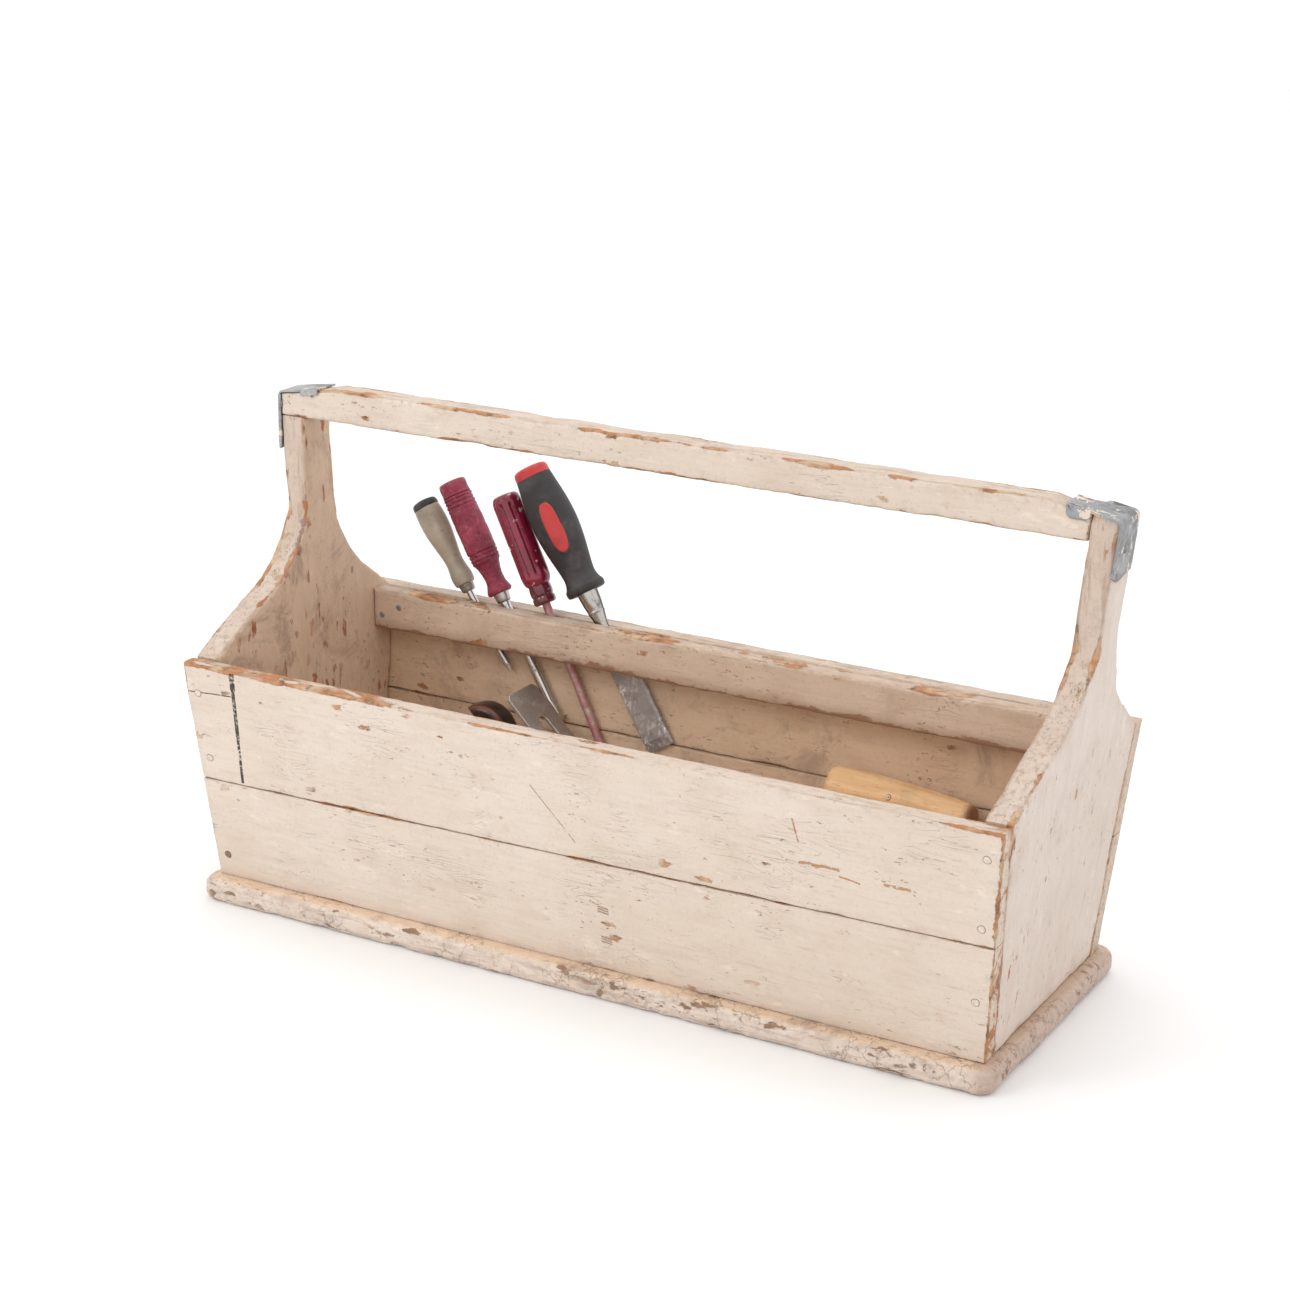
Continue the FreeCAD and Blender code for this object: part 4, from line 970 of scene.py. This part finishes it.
def build_left_strap(metal):
    """Strap over the bar's left end, with a hem down its leg and a fold down the bar's front."""
    bar_left = left_at(LEFT_POST_TOP)
    outer, over = bar_left - 1 - STRAP, FIT + STRAP
    inner_end = (bar_left + BAR_LEFT_RUN, BAR_TOP - BAR_LEFT_DROP + over)
    bend = (outer, BAR_TOP - BAR_LEFT_END_DROP + over)
    foot = (outer, low("left_bracket").z)
    points = strap_outline(inner_end, bend, foot, 3.5, -1)
    strap = strap_solid("left_strap", points, width=25, lay=behind(POST_FRONT), seed=3)
    hem_bottom, hem_top = foot[1] + 1.5, bend[1] - 3
    hem_points = outline((outer - 0.4, hem_bottom), [
        (outer - 0.4, hem_top), (outer + 2.6, hem_top), (outer + 2.6, hem_bottom),
    ], 3)
    hem = prism("left_strap_hem", hem_points, 2.6, behind(POST_FRONT - 0.5), radius=0.7, wear=0.2, seed=5,
                room=1.4)
    slope = (inner_end[1] - bend[1]) / (inner_end[0] - bend[0])
    fold_wide = 17
    fold_right, fold_left = inner_end[0], inner_end[0] - fold_wide
    fold_points = outline((fold_left, inner_end[1] - fold_wide * slope - 0.2), [
        (fold_left, inner_end[1] - fold_wide * slope - 4.6),
        (fold_right, inner_end[1] - 4.8),
        (fold_right, inner_end[1] - 0.2),
    ], 2)
    fold = prism("left_strap_fold", fold_points, STRAP, behind(POST_FRONT - STRAP), radius=0.5, wear=0.2,
                 seed=6, room=2)
    for piece in (strap, hem, fold):
        done(piece, "toolbox", metal, "left_bracket")


def build_right_strap(metal):
    """Strap over the right post, with a tongue folded down over the bar's front."""
    inner, over = right_at(RIGHT_POST_TOP) - END, FIT + STRAP
    outer = right_at(RIGHT_POST_TOP) + over
    inner_end = (inner - BAR_RIGHT_RUN, RIGHT_POST_TOP + BAR_RIGHT_RUN * SLANT + over)
    bend = (outer, RIGHT_POST_TOP - (outer - inner) * SLANT + over)
    foot_z = low("right_bracket").z
    foot = (right_at(foot_z) + over, foot_z)
    points = strap_outline(inner_end, bend, foot, 4.5, 1)
    front, narrow_back, foot_corner = POST_FRONT - 3, high("handle_bar").y, 4.3

    def lay(u, v, t):
        """The plate narrows over the bar, and the leg's foot is cut on a slant."""
        y = front + t
        share = min(1, max(0, (inner + 1.5 - u) / 1.5))
        y = y + (max(POST_FRONT, min(narrow_back, y)) - y) * share
        slant = max((y - foot_corner) * 0.12, (foot_corner - y) * 0.5) if v < foot_z + 8 else 0
        return u, y, v + slant

    strap = strap_solid("right_strap", points, width=39, lay=lay, seed=7)
    left, right = inner_end[0], inner - 0.5
    top, bottom = inner_end[1] - 0.3, inner_end[1] - 11.5
    ear = outline((left, top), [
        (left, bottom + 5),
        ((left + 1.6, bottom + 1.4), (left + 6, bottom)),
        (right - 5, bottom),
        ((right - 1.4, bottom + 1.4), (right, bottom + 5)),
        (right, top - (right - left) * SLANT),
    ], 1.5)
    thick = STRAP * 1.1
    tongue = prism("right_strap_tongue", ear, thick, behind(POST_FRONT - thick), radius=0.5, wear=0.3,
                   seed=8, room=5)
    for piece in (strap, tongue):
        done(piece, "toolbox", metal, "right_bracket")


def nail_head(name, spot, outward, size=2.9, proud=0.45):
    """Low domed nail head with a thin rim, which shows as a dark line."""
    profile = [(size * 0.4, -1.5), (size * 1.14, -0.5), (size * 1.14, 0.08), (size, 0.12),
               (size * 0.9, proud * 0.7), (size * 0.74, proud), (size * 0.45, proud * 0.95),
               (0.2, proud * 0.9)]
    return lathe(name, profile, aimed(spot, outward),
                 lambda a, h, r: r * (1 + 0.05 * math.sin(3 * a + spot[0])),
                 24, lambda a, h: 1 if h < 0.2 else 0)


def build_nails():
    covered = painted_head("painted_nail", 0.75)
    rusty = painted_head("rusty_nail", 0.95, (0.23, 0.13, 0.085))
    zinc = steel("nail_zinc", (0.36, 0.38, 0.42), rough=0.45, dirt=0.4)
    lowest_left = 40
    sides = (("left", -1, left_at, (187, 129, lowest_left)), ("right", 1, right_at, (190, 133, 71)))
    for label, side, edge, heights in sides:
        for number, z in enumerate(heights):
            x = edge(z) - side * END / 2
            name = "%s_%d" % (label, number)
            front = nail_head("front_nail_" + name, (x, front_at(z), z), (0, -1, -FRONT_LEAN))
            back = nail_head("back_nail_" + name, (x, back_at(z), z), (0, 1, -BACK_LEAN))
            done(front, "toolbox", rusty if z == lowest_left else covered, "front_nails")
            done(back, "toolbox", covered, "back_nails")
    level = (low("left_spacer").z + high("left_spacer").z) / 2
    inner_left, inner_right = left_at(level) + END, right_at(level) - END
    spots = (inner_left + 9, inner_left + 26, inner_right - 26, inner_right - 9)
    for number, x in enumerate(spots):
        z = level + (6 if number % 2 else -3)
        head = nail_head("rack_nail_%d" % number, (x, low("rack_strip").y, z), (0, -1, 0), 2.4, 0.5)
        done(head, "toolbox", zinc, "rack_nails")
    right_z = 378
    strap_nails = (
        ("strap_nail_right", (right_at(right_z) + FIT + STRAP, 12.8, right_z), (1, 0, 0.0856)),
        ("strap_nail_left", (left_at(LEFT_POST_TOP) - 1 - STRAP, 10, 370), (-1, 0, 0)),
    )
    for name, spot, outward in strap_nails:
        done(nail_head(name, spot, outward, 3.2, 0.9), "toolbox", zinc, "bracket_nails")


# -------- hanging tools

def slot_y(z):
    """Depth of the leaning plane that the hanging tools lie in."""
    return 110.2 + 0.07 * (z - high("rack_strip").z)


def hang(tip, top):
    """Local Z on the line from a tool's tip to its top, local X as level as it can be."""
    start, end = (Vector((x, slot_y(z), z)) for x, z in (tip, top))
    z = (end - start).normalized()
    x = (Vector((1, 0, 0)) - z * z.x).normalized()
    y = z.cross(x)
    return Matrix.Translation(start) @ Matrix((x, y, z)).transposed().to_4x4()


def raised(start, points):
    """A profile whose heights are given above a start."""
    return [(radius, start + height) for radius, height in points]


def shaft_profile(radius, *heights):
    return [(radius, height) for height in heights]


def squeezed_tip(reach, thin, wide):
    """Turns a round shaft's end into a flat screwdriver tip."""
    def shape(angle, height, radius):
        if height >= reach:
            return radius
        share = 1 - height / reach
        half_wide = radius + (wide - radius) * share
        half_thin = radius + (thin - radius) * share
        return 1 / ((abs(math.cos(angle)) / half_wide) ** 4 + (abs(math.sin(angle)) / half_thin) ** 4) ** 0.25
    return shape


def build_small_driver():
    spot = hang((-195.4, 157.4), (-290.1, 292.5))
    grip, cap, top = 84.1, 158, 165.3
    point = 7

    def ribbed(angle, height, radius):
        return radius * (1 + 0.03 * math.cos(6 * angle) * min(1, max(0, (height - grip - 25) / 20)))

    def cross(angle, height, radius):
        """Four flutes that end in a cross point."""
        if height > point:
            return radius
        flute = abs(math.sin(2 * angle)) ** 1.5
        return max(0.5, radius * (0.28 + 0.72 * height / point)) * (1 - 0.45 * flute * (1 - height / 9))

    handle = lathe("small_grip", spline(raised(grip, [
        (6.6, 0), (8.4, 0.8), (9.2, 4), (9.3, 9), (8.4, 15), (7.8, 21), (8.3, 28), (10, 38),
        (11.8, 50), (12.2, 60), (11.9, 69),
    ]) + [(11.2, cap)]), spot, ribbed)
    end = lathe("small_cap_rubber", spline([
        (11.1, cap), (11.3, cap + 0.6), (11.1, cap + 3), (9.8, top - 1.6), (5, top - 0.2), (0.3, top),
    ]), spot)
    ferrule = lathe("small_ferrule_ring", raised(grip, [
        (3.2, -6.6), (5, -6.5), (5.9, -5.6), (6.3, -3), (6.1, -2.6), (6.5, -1.8), (6.6, 0.4),
    ]), spot)
    shaft = lathe("small_steel", shaft_profile(3, 0, 1, 2.5, 4, 5.5, 7, 8, 30, 60, grip),
                  spot, cross, 48)
    dull = steel("ferrule_plate", (0.4, 0.36, 0.3), rough=0.42, dirt=0.6)
    bright = steel("bright_small", (0.56, 0.56, 0.57), rough=0.14, dirt=0.25)
    assemble("small_driver",
             (handle, dusty_plastic("dusty_beige"), "handle", "grey_wood"),
             (end, rubber("black_cap"), "cap", "black_rubber"),
             (ferrule, dull, "ferrule", "ferrule_steel"),
             (shaft, bright, "shaft", "bright_steel"))


def build_red_driver():
    spot = hang((-147.9, 124), (-262.6, 313.1))
    grip, top = 117.1, 221.7
    profile = spline(raised(grip, [
        (9, 0), (10.4, 1.2), (10.7, 4), (8.9, 8.5), (8.2, 13), (8.6, 19), (9.8, 25), (10.9, 28),
        (12.4, 30.5), (12.7, 36), (13, 48),
    ]) + raised(top, [
        (13, -40), (12.8, -27), (12.6, -14), (11.9, -11.5), (12, -4), (10.6, -1), (5, -0.1),
        (0.3, 0),
    ]), 12)

    def grooved(angle, height, radius):
        """Uneven turned surface with fine rings near the top and above the neck."""
        place = (math.cos(angle) * 12, math.sin(angle) * 12, height)
        uneven = 0.025 * ragged(place, 9, 2) + 0.025 * ragged(place, 3, 4)
        shaded_sides = top - 30 < height < top - 13 or grip + 29 < height < grip + 40
        ring = 0.07 * max(0, math.cos(height * 1.9)) ** 3 if shaded_sides else 0
        return radius * (1 + uneven - ring)

    handle = lathe("red_grip", profile, spot, grooved, 72,
                   lambda a, h: max(0, 1 - abs(h - grip - 3) / 6))
    ferrule = lathe("red_ferrule_ring", raised(grip, [
        (4.2, -8.2), (5.2, -8), (6, -7.2), (6.3, -4), (7, -0.4), (7.2, 1),
    ]), spot)
    shaft = lathe("red_steel", shaft_profile(4.2, 0, 0.6, 4, 8, 12, 16, 18, 50, 90, grip),
                  spot, squeezed_tip(16, 0.7, 4.6), 48)
    dull = steel("ferrule_dull", (0.5, 0.49, 0.47), rough=0.3, dirt=0.35)
    bright = steel("bright_red", (0.58, 0.58, 0.58), rough=0.16, dirt=0.3)
    assemble("red_driver",
             (handle, red_painted_handle("crimson_paint"), "handle", "red_wood"),
             (ferrule, dull, "ferrule", "ferrule_steel"),
             (shaft, bright, "shaft", "bright_steel"))


def build_fluted_driver():
    spot = hang((-94, 89.3), (-209.8, 309.9))
    grip, shoulder, top = 150.3, 167.1, 249.2
    plastic = dark_red_plastic("dark_red_plastic")

    def fluted(angle, height, radius):
        start, stop = shoulder + 7, top - 7
        depth = min(1, max(0, (height - start) / 8)) * min(1, max(0, (stop - height) / 5))
        return radius - 2.5 * depth * max(0, math.cos(8 * angle)) ** 0.9

    def knurled(angle, height, radius):
        return radius * (1 + 0.045 * math.cos(8 * angle) ** 3)

    handle = lathe("fluted_grip", spline(raised(shoulder, [
        (9.2, 0), (10.4, 1.2), (11.8, 4), (12.4, 9), (12.4, 30),
    ]) + raised(top, [
        (12.4, -22), (12.4, -10), (11.8, -4.5), (9.6, -1.2), (5, -0.2), (0.3, 0),
    ]), 8), spot, fluted, 96)
    collar = lathe("fluted_collar_ring", spline(raised(grip, [
        (6, 0), (8.4, 0.3), (9.4, 1.8), (9.6, 5), (8.8, 7), (9.5, 9),
    ]) + raised(shoulder, [(9.5, -3), (9, 0)]), 5), spot, knurled, 64, lambda a, h: 1)
    shaft = lathe("fluted_steel", shaft_profile(3.6, 0, 0.6, 4, 9, 14, 16, 60, 110, grip + 1),
                  spot, squeezed_tip(14, 0.6, 4), 48)
    stained = steel("stained_shaft", (0.62, 0.56, 0.54), rough=0.28, dirt=1.7, stain=(0.42, 0.038, 0.052))
    assemble("fluted_driver",
             (handle, plastic, "handle", "red_plastic"),
             (collar, plastic, "collar", "red_plastic"),
             (shaft, stained, "shaft", "stained_steel"))


def build_chisel():
    spot = hang((-47.4, 117), (-186.5, 335.8))
    grip, top = 143.9, 259.9
    cap = top - 9

    def flattened(angle, height, radius):
        return radius * (1 - 0.03 * abs(math.sin(angle)) ** 2)

    handle = lathe("chisel_grip_rubber", spline(raised(grip, [
        (9.5, 0), (15.4, 0.4), (17, 2.2), (17, 6), (15.4, 8.6), (14, 14), (14.2, 20),
        (15.9, 31), (18.2, 46), (19.5, 63), (18.8, 80), (16.6, 97),
    ]) + [(15.2, cap)], 8), spot, flattened)
    end = lathe("chisel_red_end", spline([
        (15, cap), (15.2, cap + 0.4), (15, top - 4), (13.5, top - 1.4), (9, top - 0.2), (0.3, top),
    ], 6), spot, flattened)
    inset = grip + 60
    # The neck's wear value is highest on its sides as seen from the camera; there its steel gets a painted
    # dark reflection.
    neck = lathe("chisel_neck", spline([
        (4, 80), (4.3, 92), (4.5, 104), (4.9, 114), (5.6, 118), (6.8, 124), (7.4, 126),
        (7.2, 127.5), (8.2, 134), (9, grip + 0.4),
    ], 6), spot, None, 64, lambda a, h: abs(math.sin(a + math.radians(62))) ** 4)
    bright = steel("bolster_steel", (0.5, 0.48, 0.46), rough=0.16, dirt=0.3, shaded_sides=True)
    assemble("chisel",
             (handle, rubber("grip_rubber"), "grip", "black_rubber"),
             (end, gloss_red("end_red"), "cap", "cap_plastic"),
             (build_oval("chisel_inset_rim", spot, inset, 24, 8.6, -0.35), rubber("inset_rim_rubber"),
              "inset", "cap_plastic"),
             (build_oval("chisel_inset_plate", spot, inset, 22, 7, 0.15), gloss_red("inset_red"),
              "inset", "cap_plastic"),
             (neck, bright, "blade", "blade_steel"),
             (build_blade(spot), worn_blade("blade_ground"), "blade", "blade_steel"))


INSET_TURN = math.radians(24)


def build_oval(name, spot, middle, half_long, half_wide, lift):
    """Plain oval let into the chisel's grip: low steps that follow the grip's crown."""
    facing = spot @ Matrix.Rotation(INSET_TURN, 4, "Z")
    sides = 48
    mesh = bmesh.new()
    mesh.verts.layers.float.new("wear")
    rings = []
    for share, rise in ((1, -1.6), (1, 0), (0.93, 0.35), (0.6, 0.5), (0.25, 0.55)):
        ring = []
        for k in range(sides):
            across, along = math.cos(2 * math.pi * k / sides), math.sin(2 * math.pi * k / sides)
            x = half_wide * share * math.copysign(abs(across) ** 0.72, across)
            z = half_long * share * math.copysign(abs(along) ** 0.8, along)
            wall = 18.8 + z * 0.012 - (z / 25) ** 2 * 0.8
            y = -math.sqrt(max(1, wall ** 2 - x ** 2)) - rise - lift
            ring.append(mesh.verts.new(facing @ Vector((x, y, middle + z)) * MM))
        rings.append(ring)
    join_rings(mesh, rings)
    mesh.faces.new(rings[-1])
    return finish_mesh(name, mesh, angle=70)


def build_blade(spot):
    """Flat blade with bevelled sides, ground to an edge and drawn in to the neck."""
    half, neck, shoulder, length = 12.8, 4.2, 74, 96
    front, chamfer, thick, edge = -2, 1.6, 4, 0.35
    mesh = bmesh.new()
    mesh.verts.layers.float.new("wear")
    rows = []
    for z in (0, 1, 4, 9, 12, 24, 40, 60, shoulder, 80, 86, 91, length):
        drawn = (1 - math.cos(max(0, z - shoulder) / (length - shoulder) * math.pi)) / 2
        wide = half - (half - neck) * drawn
        back = front + max(edge, min(thick, edge + z * 0.42))
        bevel = max(front + 0.25, back - chamfer)
        loop = [(-wide, front + 0.2), (-wide + 0.3, front), (wide - 0.3, front), (wide, front + 0.2),
                (wide, bevel), (wide - chamfer, back), (-wide + chamfer, back), (-wide, bevel)]
        rows.append([mesh.verts.new(spot @ Vector((x, -y, z)) * MM) for x, y in loop])
    join_rings(mesh, rows)
    mesh.faces.new(rows[0])
    mesh.faces.new(rows[-1])
    return finish_mesh("chisel_flat", mesh, angle=20)


# -------- bench plane

PLANE = low("plane_body")
PLANE_LONG, PLANE_WIDE, PLANE_MOUTH = 250, 56, 182
PLANE_MIDDLE = PLANE_WIDE / 2
CHEEK = 4


def from_plane(x, y, z):
    return PLANE.x + x, PLANE.y + y, PLANE.z + z


def along_plane(side):
    """Lays a shape seen from the side, from a place across the plane."""
    return lambda u, v, t: from_plane(u, side + t, v)


def build_plane():
    dark = bare_wood("dark_tote_wood", (0.055, 0.03, 0.02), (0.025, 0.014, 0.01), UP_Z, 0.32, 0.3)
    cutter = steel("cutter_steel", (0.46, 0.42, 0.385), rough=0.46, dirt=0.45, along=(0.3, 0.3, 1),
                   stain=(0.24, 0.17, 0.12), scratches=0.6)
    build_plane_body(steel("cast_grey", (0.13, 0.13, 0.14), rough=0.45, dirt=0.6, stain=(0.07, 0.045, 0.03)))
    build_iron(cutter)
    build_lever(cutter)
    build_tote(dark)
    knob = lathe("plane_front_knob", spline([
        (11, 6), (11.6, 7.6), (11.4, 9.4), (9, 14), (8.4, 20), (10.4, 27), (14.6, 35),
        (16.6, 42), (15.4, 49), (11, 53.6), (5, 54.8), (0.3, 55),
    ]), Matrix.Translation(Vector(from_plane(222, PLANE_MIDDLE, 0))))
    done(knob, "bench_plane", dark, "plane_knob")


def build_plane_body(cast):
    """Two cheeks, the sole between them, and the sloping bed for the iron."""
    profile = outline((0, 0), [
        (PLANE_LONG, 0), (PLANE_LONG, 9), ((222, 24), (196, 48)), ((185, 54), (170, 55)),
        (130, 55), ((95, 44), (60, 16)), (0, 9),
    ])
    for number, side in enumerate((0, PLANE_WIDE - CHEEK)):
        cheek = prism("plane_cheek_%d" % number, profile, CHEEK, along_plane(side),
                      radius=0.8, wear=0.2, seed=20 + number)
        done(cheek, "bench_plane", cast, "plane_body")
    floor_plan = outline((0.4, 3), [(249.6, 3), (249.6, 53), (0.4, 53)], 5)
    sole = prism("plane_sole", floor_plan, 5.6, lambda u, v, t: from_plane(u, v, 0.2 + t),
                 radius=0.8, wear=0.2, seed=22)
    done(sole, "bench_plane", cast, "plane_body")
    reach = PLANE_MOUTH + 0.6
    wedge = outline((110, 6), [(reach - 6, 6), (reach - 67, 67), (103, 60)])
    frog = prism("plane_frog_casting", wedge, 46, along_plane(5), radius=0.9, wear=0.2, seed=23)
    done(frog, "bench_plane", cast, "plane_frog")


def on_bed(along, lift):
    """Matrix for the 45 degree bed: local X up the bed, Y across it and Z away from it."""
    heading, away = Vector((-1, 0, 1)).normalized(), Vector((1, 0, 1)).normalized()
    corner = Vector(from_plane(PLANE_MOUTH, PLANE_MIDDLE, 1)) + heading * along + away * lift
    turn = Matrix((heading, away.cross(heading), away)).transposed().to_4x4()
    return Matrix.Translation(corner) @ turn


def build_iron(material):
    """Cutting iron: a plate with clipped corners and a long slot through it."""
    length, half, clip = 192, 22, 4
    slot_low, slot_high, slot_half = 55, length - 34, 5.5
    plate = outline((0, -half), [
        (length - clip, -half), (length, -half + clip), (length, half - clip), (length - clip, half),
        (0, half),
    ], 3)
    slot = outline((slot_low, -slot_half), [
        (slot_high, -slot_half), ((slot_high + slot_half, 0), (slot_high, slot_half)),
        (slot_low, slot_half), ((slot_low - slot_half, 0), (slot_low, -slot_half)),
    ], 3)
    bed = on_bed(0, 0)
    mesh = bmesh.new()
    mesh.verts.layers.float.new("wear")
    walls = []
    for points, sign in ((plate, 1), (slot, -1)):
        moves = inward_steps(points)
        rings = []
        for inset, height in ((0.5, 0), (0, 0.5), (0, 2.5), (0.5, 3)):
            shift = sign * inset
            rings.append([mesh.verts.new(bed @ Vector((u + move.x * shift, v + move.y * shift, height)) * MM)
                          for (u, v), move in zip(points, moves)])
        join_rings(mesh, rings)
        walls.append(rings)
    fill_rings(mesh, walls[0][0], walls[1][0])
    fill_rings(mesh, walls[0][-1], walls[1][-1])
    done(finish_mesh("plane_cutter", mesh, angle=30), "bench_plane", material, "plane_iron")


def build_lever(material):
    """Lever cap that holds the iron down."""
    bed = on_bed(14, 3.2)
    cap = outline((0, -21), [(84, -16), ((93, 0), (84, 16)), (0, 21)], 3)
    lever = prism("plane_lever", cap, 4.5, lambda u, v, t: bed @ Vector((u, v, t)),
                  radius=1.4, wear=0.2, seed=24)
    done(lever, "bench_plane", material, "plane_lever_cap")


def build_tote(material):
    """Rear handle, with a horn at the top, held by a brass nut."""
    side = outline((14, 6.3), [
        (92, 6.3), (88, 16), ((60, 40), (50, 66)), ((46, 90), (38, 107.3)),
        ((26, 118.5), (9, 119.5)), (1, 116.5), ((15, 98), (20, 74)),
        ((20, 40), (14, 16)),
    ], 3)
    tote = prism("plane_tote_grip", side, 24, along_plane(16), radius=5.5, wear=0.2, seed=25, rounds=6,
                 room=9.5)
    done(tote, "bench_plane", material, "plane_tote")
    brass = steel("tote_brass", (0.62, 0.42, 0.16), rough=0.3, dirt=0.4, stain=(0.16, 0.09, 0.04))
    nut = lathe("plane_brass_nut", [
        (6, 0), (6, 3.6), (5.4, 4.4), (3.4, 4.9), (2.9, 4.6), (2.6, 3.4), (0.2, 3.3),
    ], aimed(from_plane(24, PLANE_MIDDLE, 113.5), (0.45, 0, 1)), None, 40)
    done(nut, "bench_plane", brass, "plane_tote_nut")


# -------- auger

def build_auger():
    left, right = Vector((115, 88, 123)), Vector((240, 88, 116))
    length = (right - left).length
    beech = bare_wood("waxed_beech", (0.84, 0.55, 0.29), (0.72, 0.43, 0.2), ALONG_X, 0.42, 0.55, 0.0002)
    handle = lathe("auger_cross_handle", spline([
        (0.4, -0.1), (8, 0), (13.2, 0.9), (16, 3.4), (17.3, 9), (17.7, length * 0.3),
        (17, length * 0.55), (15.4, length * 0.8), (14, length - 9), (12.8, length - 3),
        (9.4, length - 0.4), (0.4, length),
    ], 8), aimed(left, right - left), None, 64, lambda a, h: max(0, (h - length + 16) / 16))
    middle = left + (right - left) * 0.46
    foot = Vector((middle.x, 75, low("auger_shank").z))
    reach = (middle - foot).length
    twist_low, twist_high, thick = 6, 58, 3.9

    def twisted(angle, height, radius):
        if height > twist_high or height < twist_low:
            return radius
        return radius * (0.8 + 0.2 * math.cos(2 * (angle - height * 0.35)))

    profile = [(0.5, 0.2), (1.6, 4), (2.8, 8)] + [(thick, 11 + k * 1.5) for k in range(33)]
    profile += [(thick, reach - 14), (thick, reach + 4)]
    iron = steel("auger_iron", (0.2, 0.18, 0.17), rough=0.4, dirt=0.7, stain=(0.12, 0.055, 0.03))
    shank = lathe("auger_twist", profile, aimed(foot, middle - foot), twisted, 32)
    out = Vector((0, -0.86, 0.5)).normalized()
    pin = lathe("auger_rivet", [
        (2.9, 0), (2.9, 1.3), (2.6, 1.7), (2, 1.75), (1.6, 1.5), (1.1, 1.7), (0.2, 1.8),
    ], aimed(middle + out * 15.6, out), None, 32)
    assemble("auger", (handle, beech, "handle", "beech_wood"), (shank, iron, "shank", "dark_steel"),
             (pin, iron, "pin", "dark_steel"))


# -------- floor, light and camera

def build_floor():
    mesh = bmesh.new()
    size = 6
    corners = ((-1, -1), (1, -1), (1, 1), (-1, 1))
    mesh.faces.new([mesh.verts.new((x * size, y * size, 0)) for x, y in corners])
    piece = finish_mesh("pale_floor", mesh, False)
    piece.data.materials.append(Graph("floor_white", (0.93, 0.93, 0.93)).finish(0.6, specular=0.2))


def add_area(name, place, target, size, power):
    data = bpy.data.lights.new(name, "AREA")
    data.shape = "DISK"
    data.size = size
    data.energy = power
    lamp = bpy.data.objects.new(name, data)
    lamp.location = place
    lamp.rotation_euler = (Vector(target) - Vector(place)).to_track_quat("-Z", "Y").to_euler()
    bpy.context.scene.collection.objects.link(lamp)


def build_lights():
    world = bpy.data.worlds.new("studio_white")
    world.use_nodes = True
    background = world.node_tree.nodes["Background"]
    background.inputs["Color"].default_value = (1, 1, 1, 1)
    background.inputs["Strength"].default_value = 1.08
    bpy.context.scene.world = world
    bpy.context.scene.view_settings.view_transform = "Standard"
    middle = (0, 0, 0.18)
    add_area("key_light", (-1.4, -1.9, 2), middle, 1.2, 14.5)
    add_area("top_light", (0.1, 0.3, 2.6), middle, 1.4, 9)


def build_camera():
    """Camera fitted to the box's straight edges."""
    azimuth, elevation, roll = (math.radians(a) for a in (28.374, 18.161, 1.198))
    shift_right, shift_up, distance = -0.00746, 0.23253, 2.26686
    back = Vector((math.sin(azimuth) * math.cos(elevation), -math.cos(azimuth) * math.cos(elevation),
                   math.sin(elevation)))
    right = Vector((math.cos(azimuth), math.sin(azimuth), 0))
    up = back.cross(right)
    rolled_right = right * math.cos(roll) + up * math.sin(roll)
    rolled_up = up * math.cos(roll) - right * math.sin(roll)
    data = bpy.data.cameras.new("camera")
    data.sensor_width = 36
    data.lens = 78.27
    camera = bpy.data.objects.new("camera", data)
    turn = Matrix((rolled_right, rolled_up, back)).transposed().to_4x4()
    camera.matrix_world = Matrix.Translation(back * distance + right * shift_right + up * shift_up) @ turn
    bpy.context.scene.collection.objects.link(camera)
    bpy.context.scene.camera = camera


def build_all():
    build_camera()
    build_lights()
    build_floor()
    build_base()
    build_front_wall()
    build_back_wall()
    build_ends()
    build_bar()
    build_rack()
    build_left_strap(sheet_metal("left_zinc", (0.46, 0.46, 0.47), paint=0.35, rust=0.2))
    build_right_strap(sheet_metal("right_zinc", (0.38, 0.385, 0.4), paint=0.32, rust=0.4))
    build_nails()
    build_small_driver()
    build_red_driver()
    build_fluted_driver()
    build_chisel()
    build_plane()
    build_auger()


build_all()
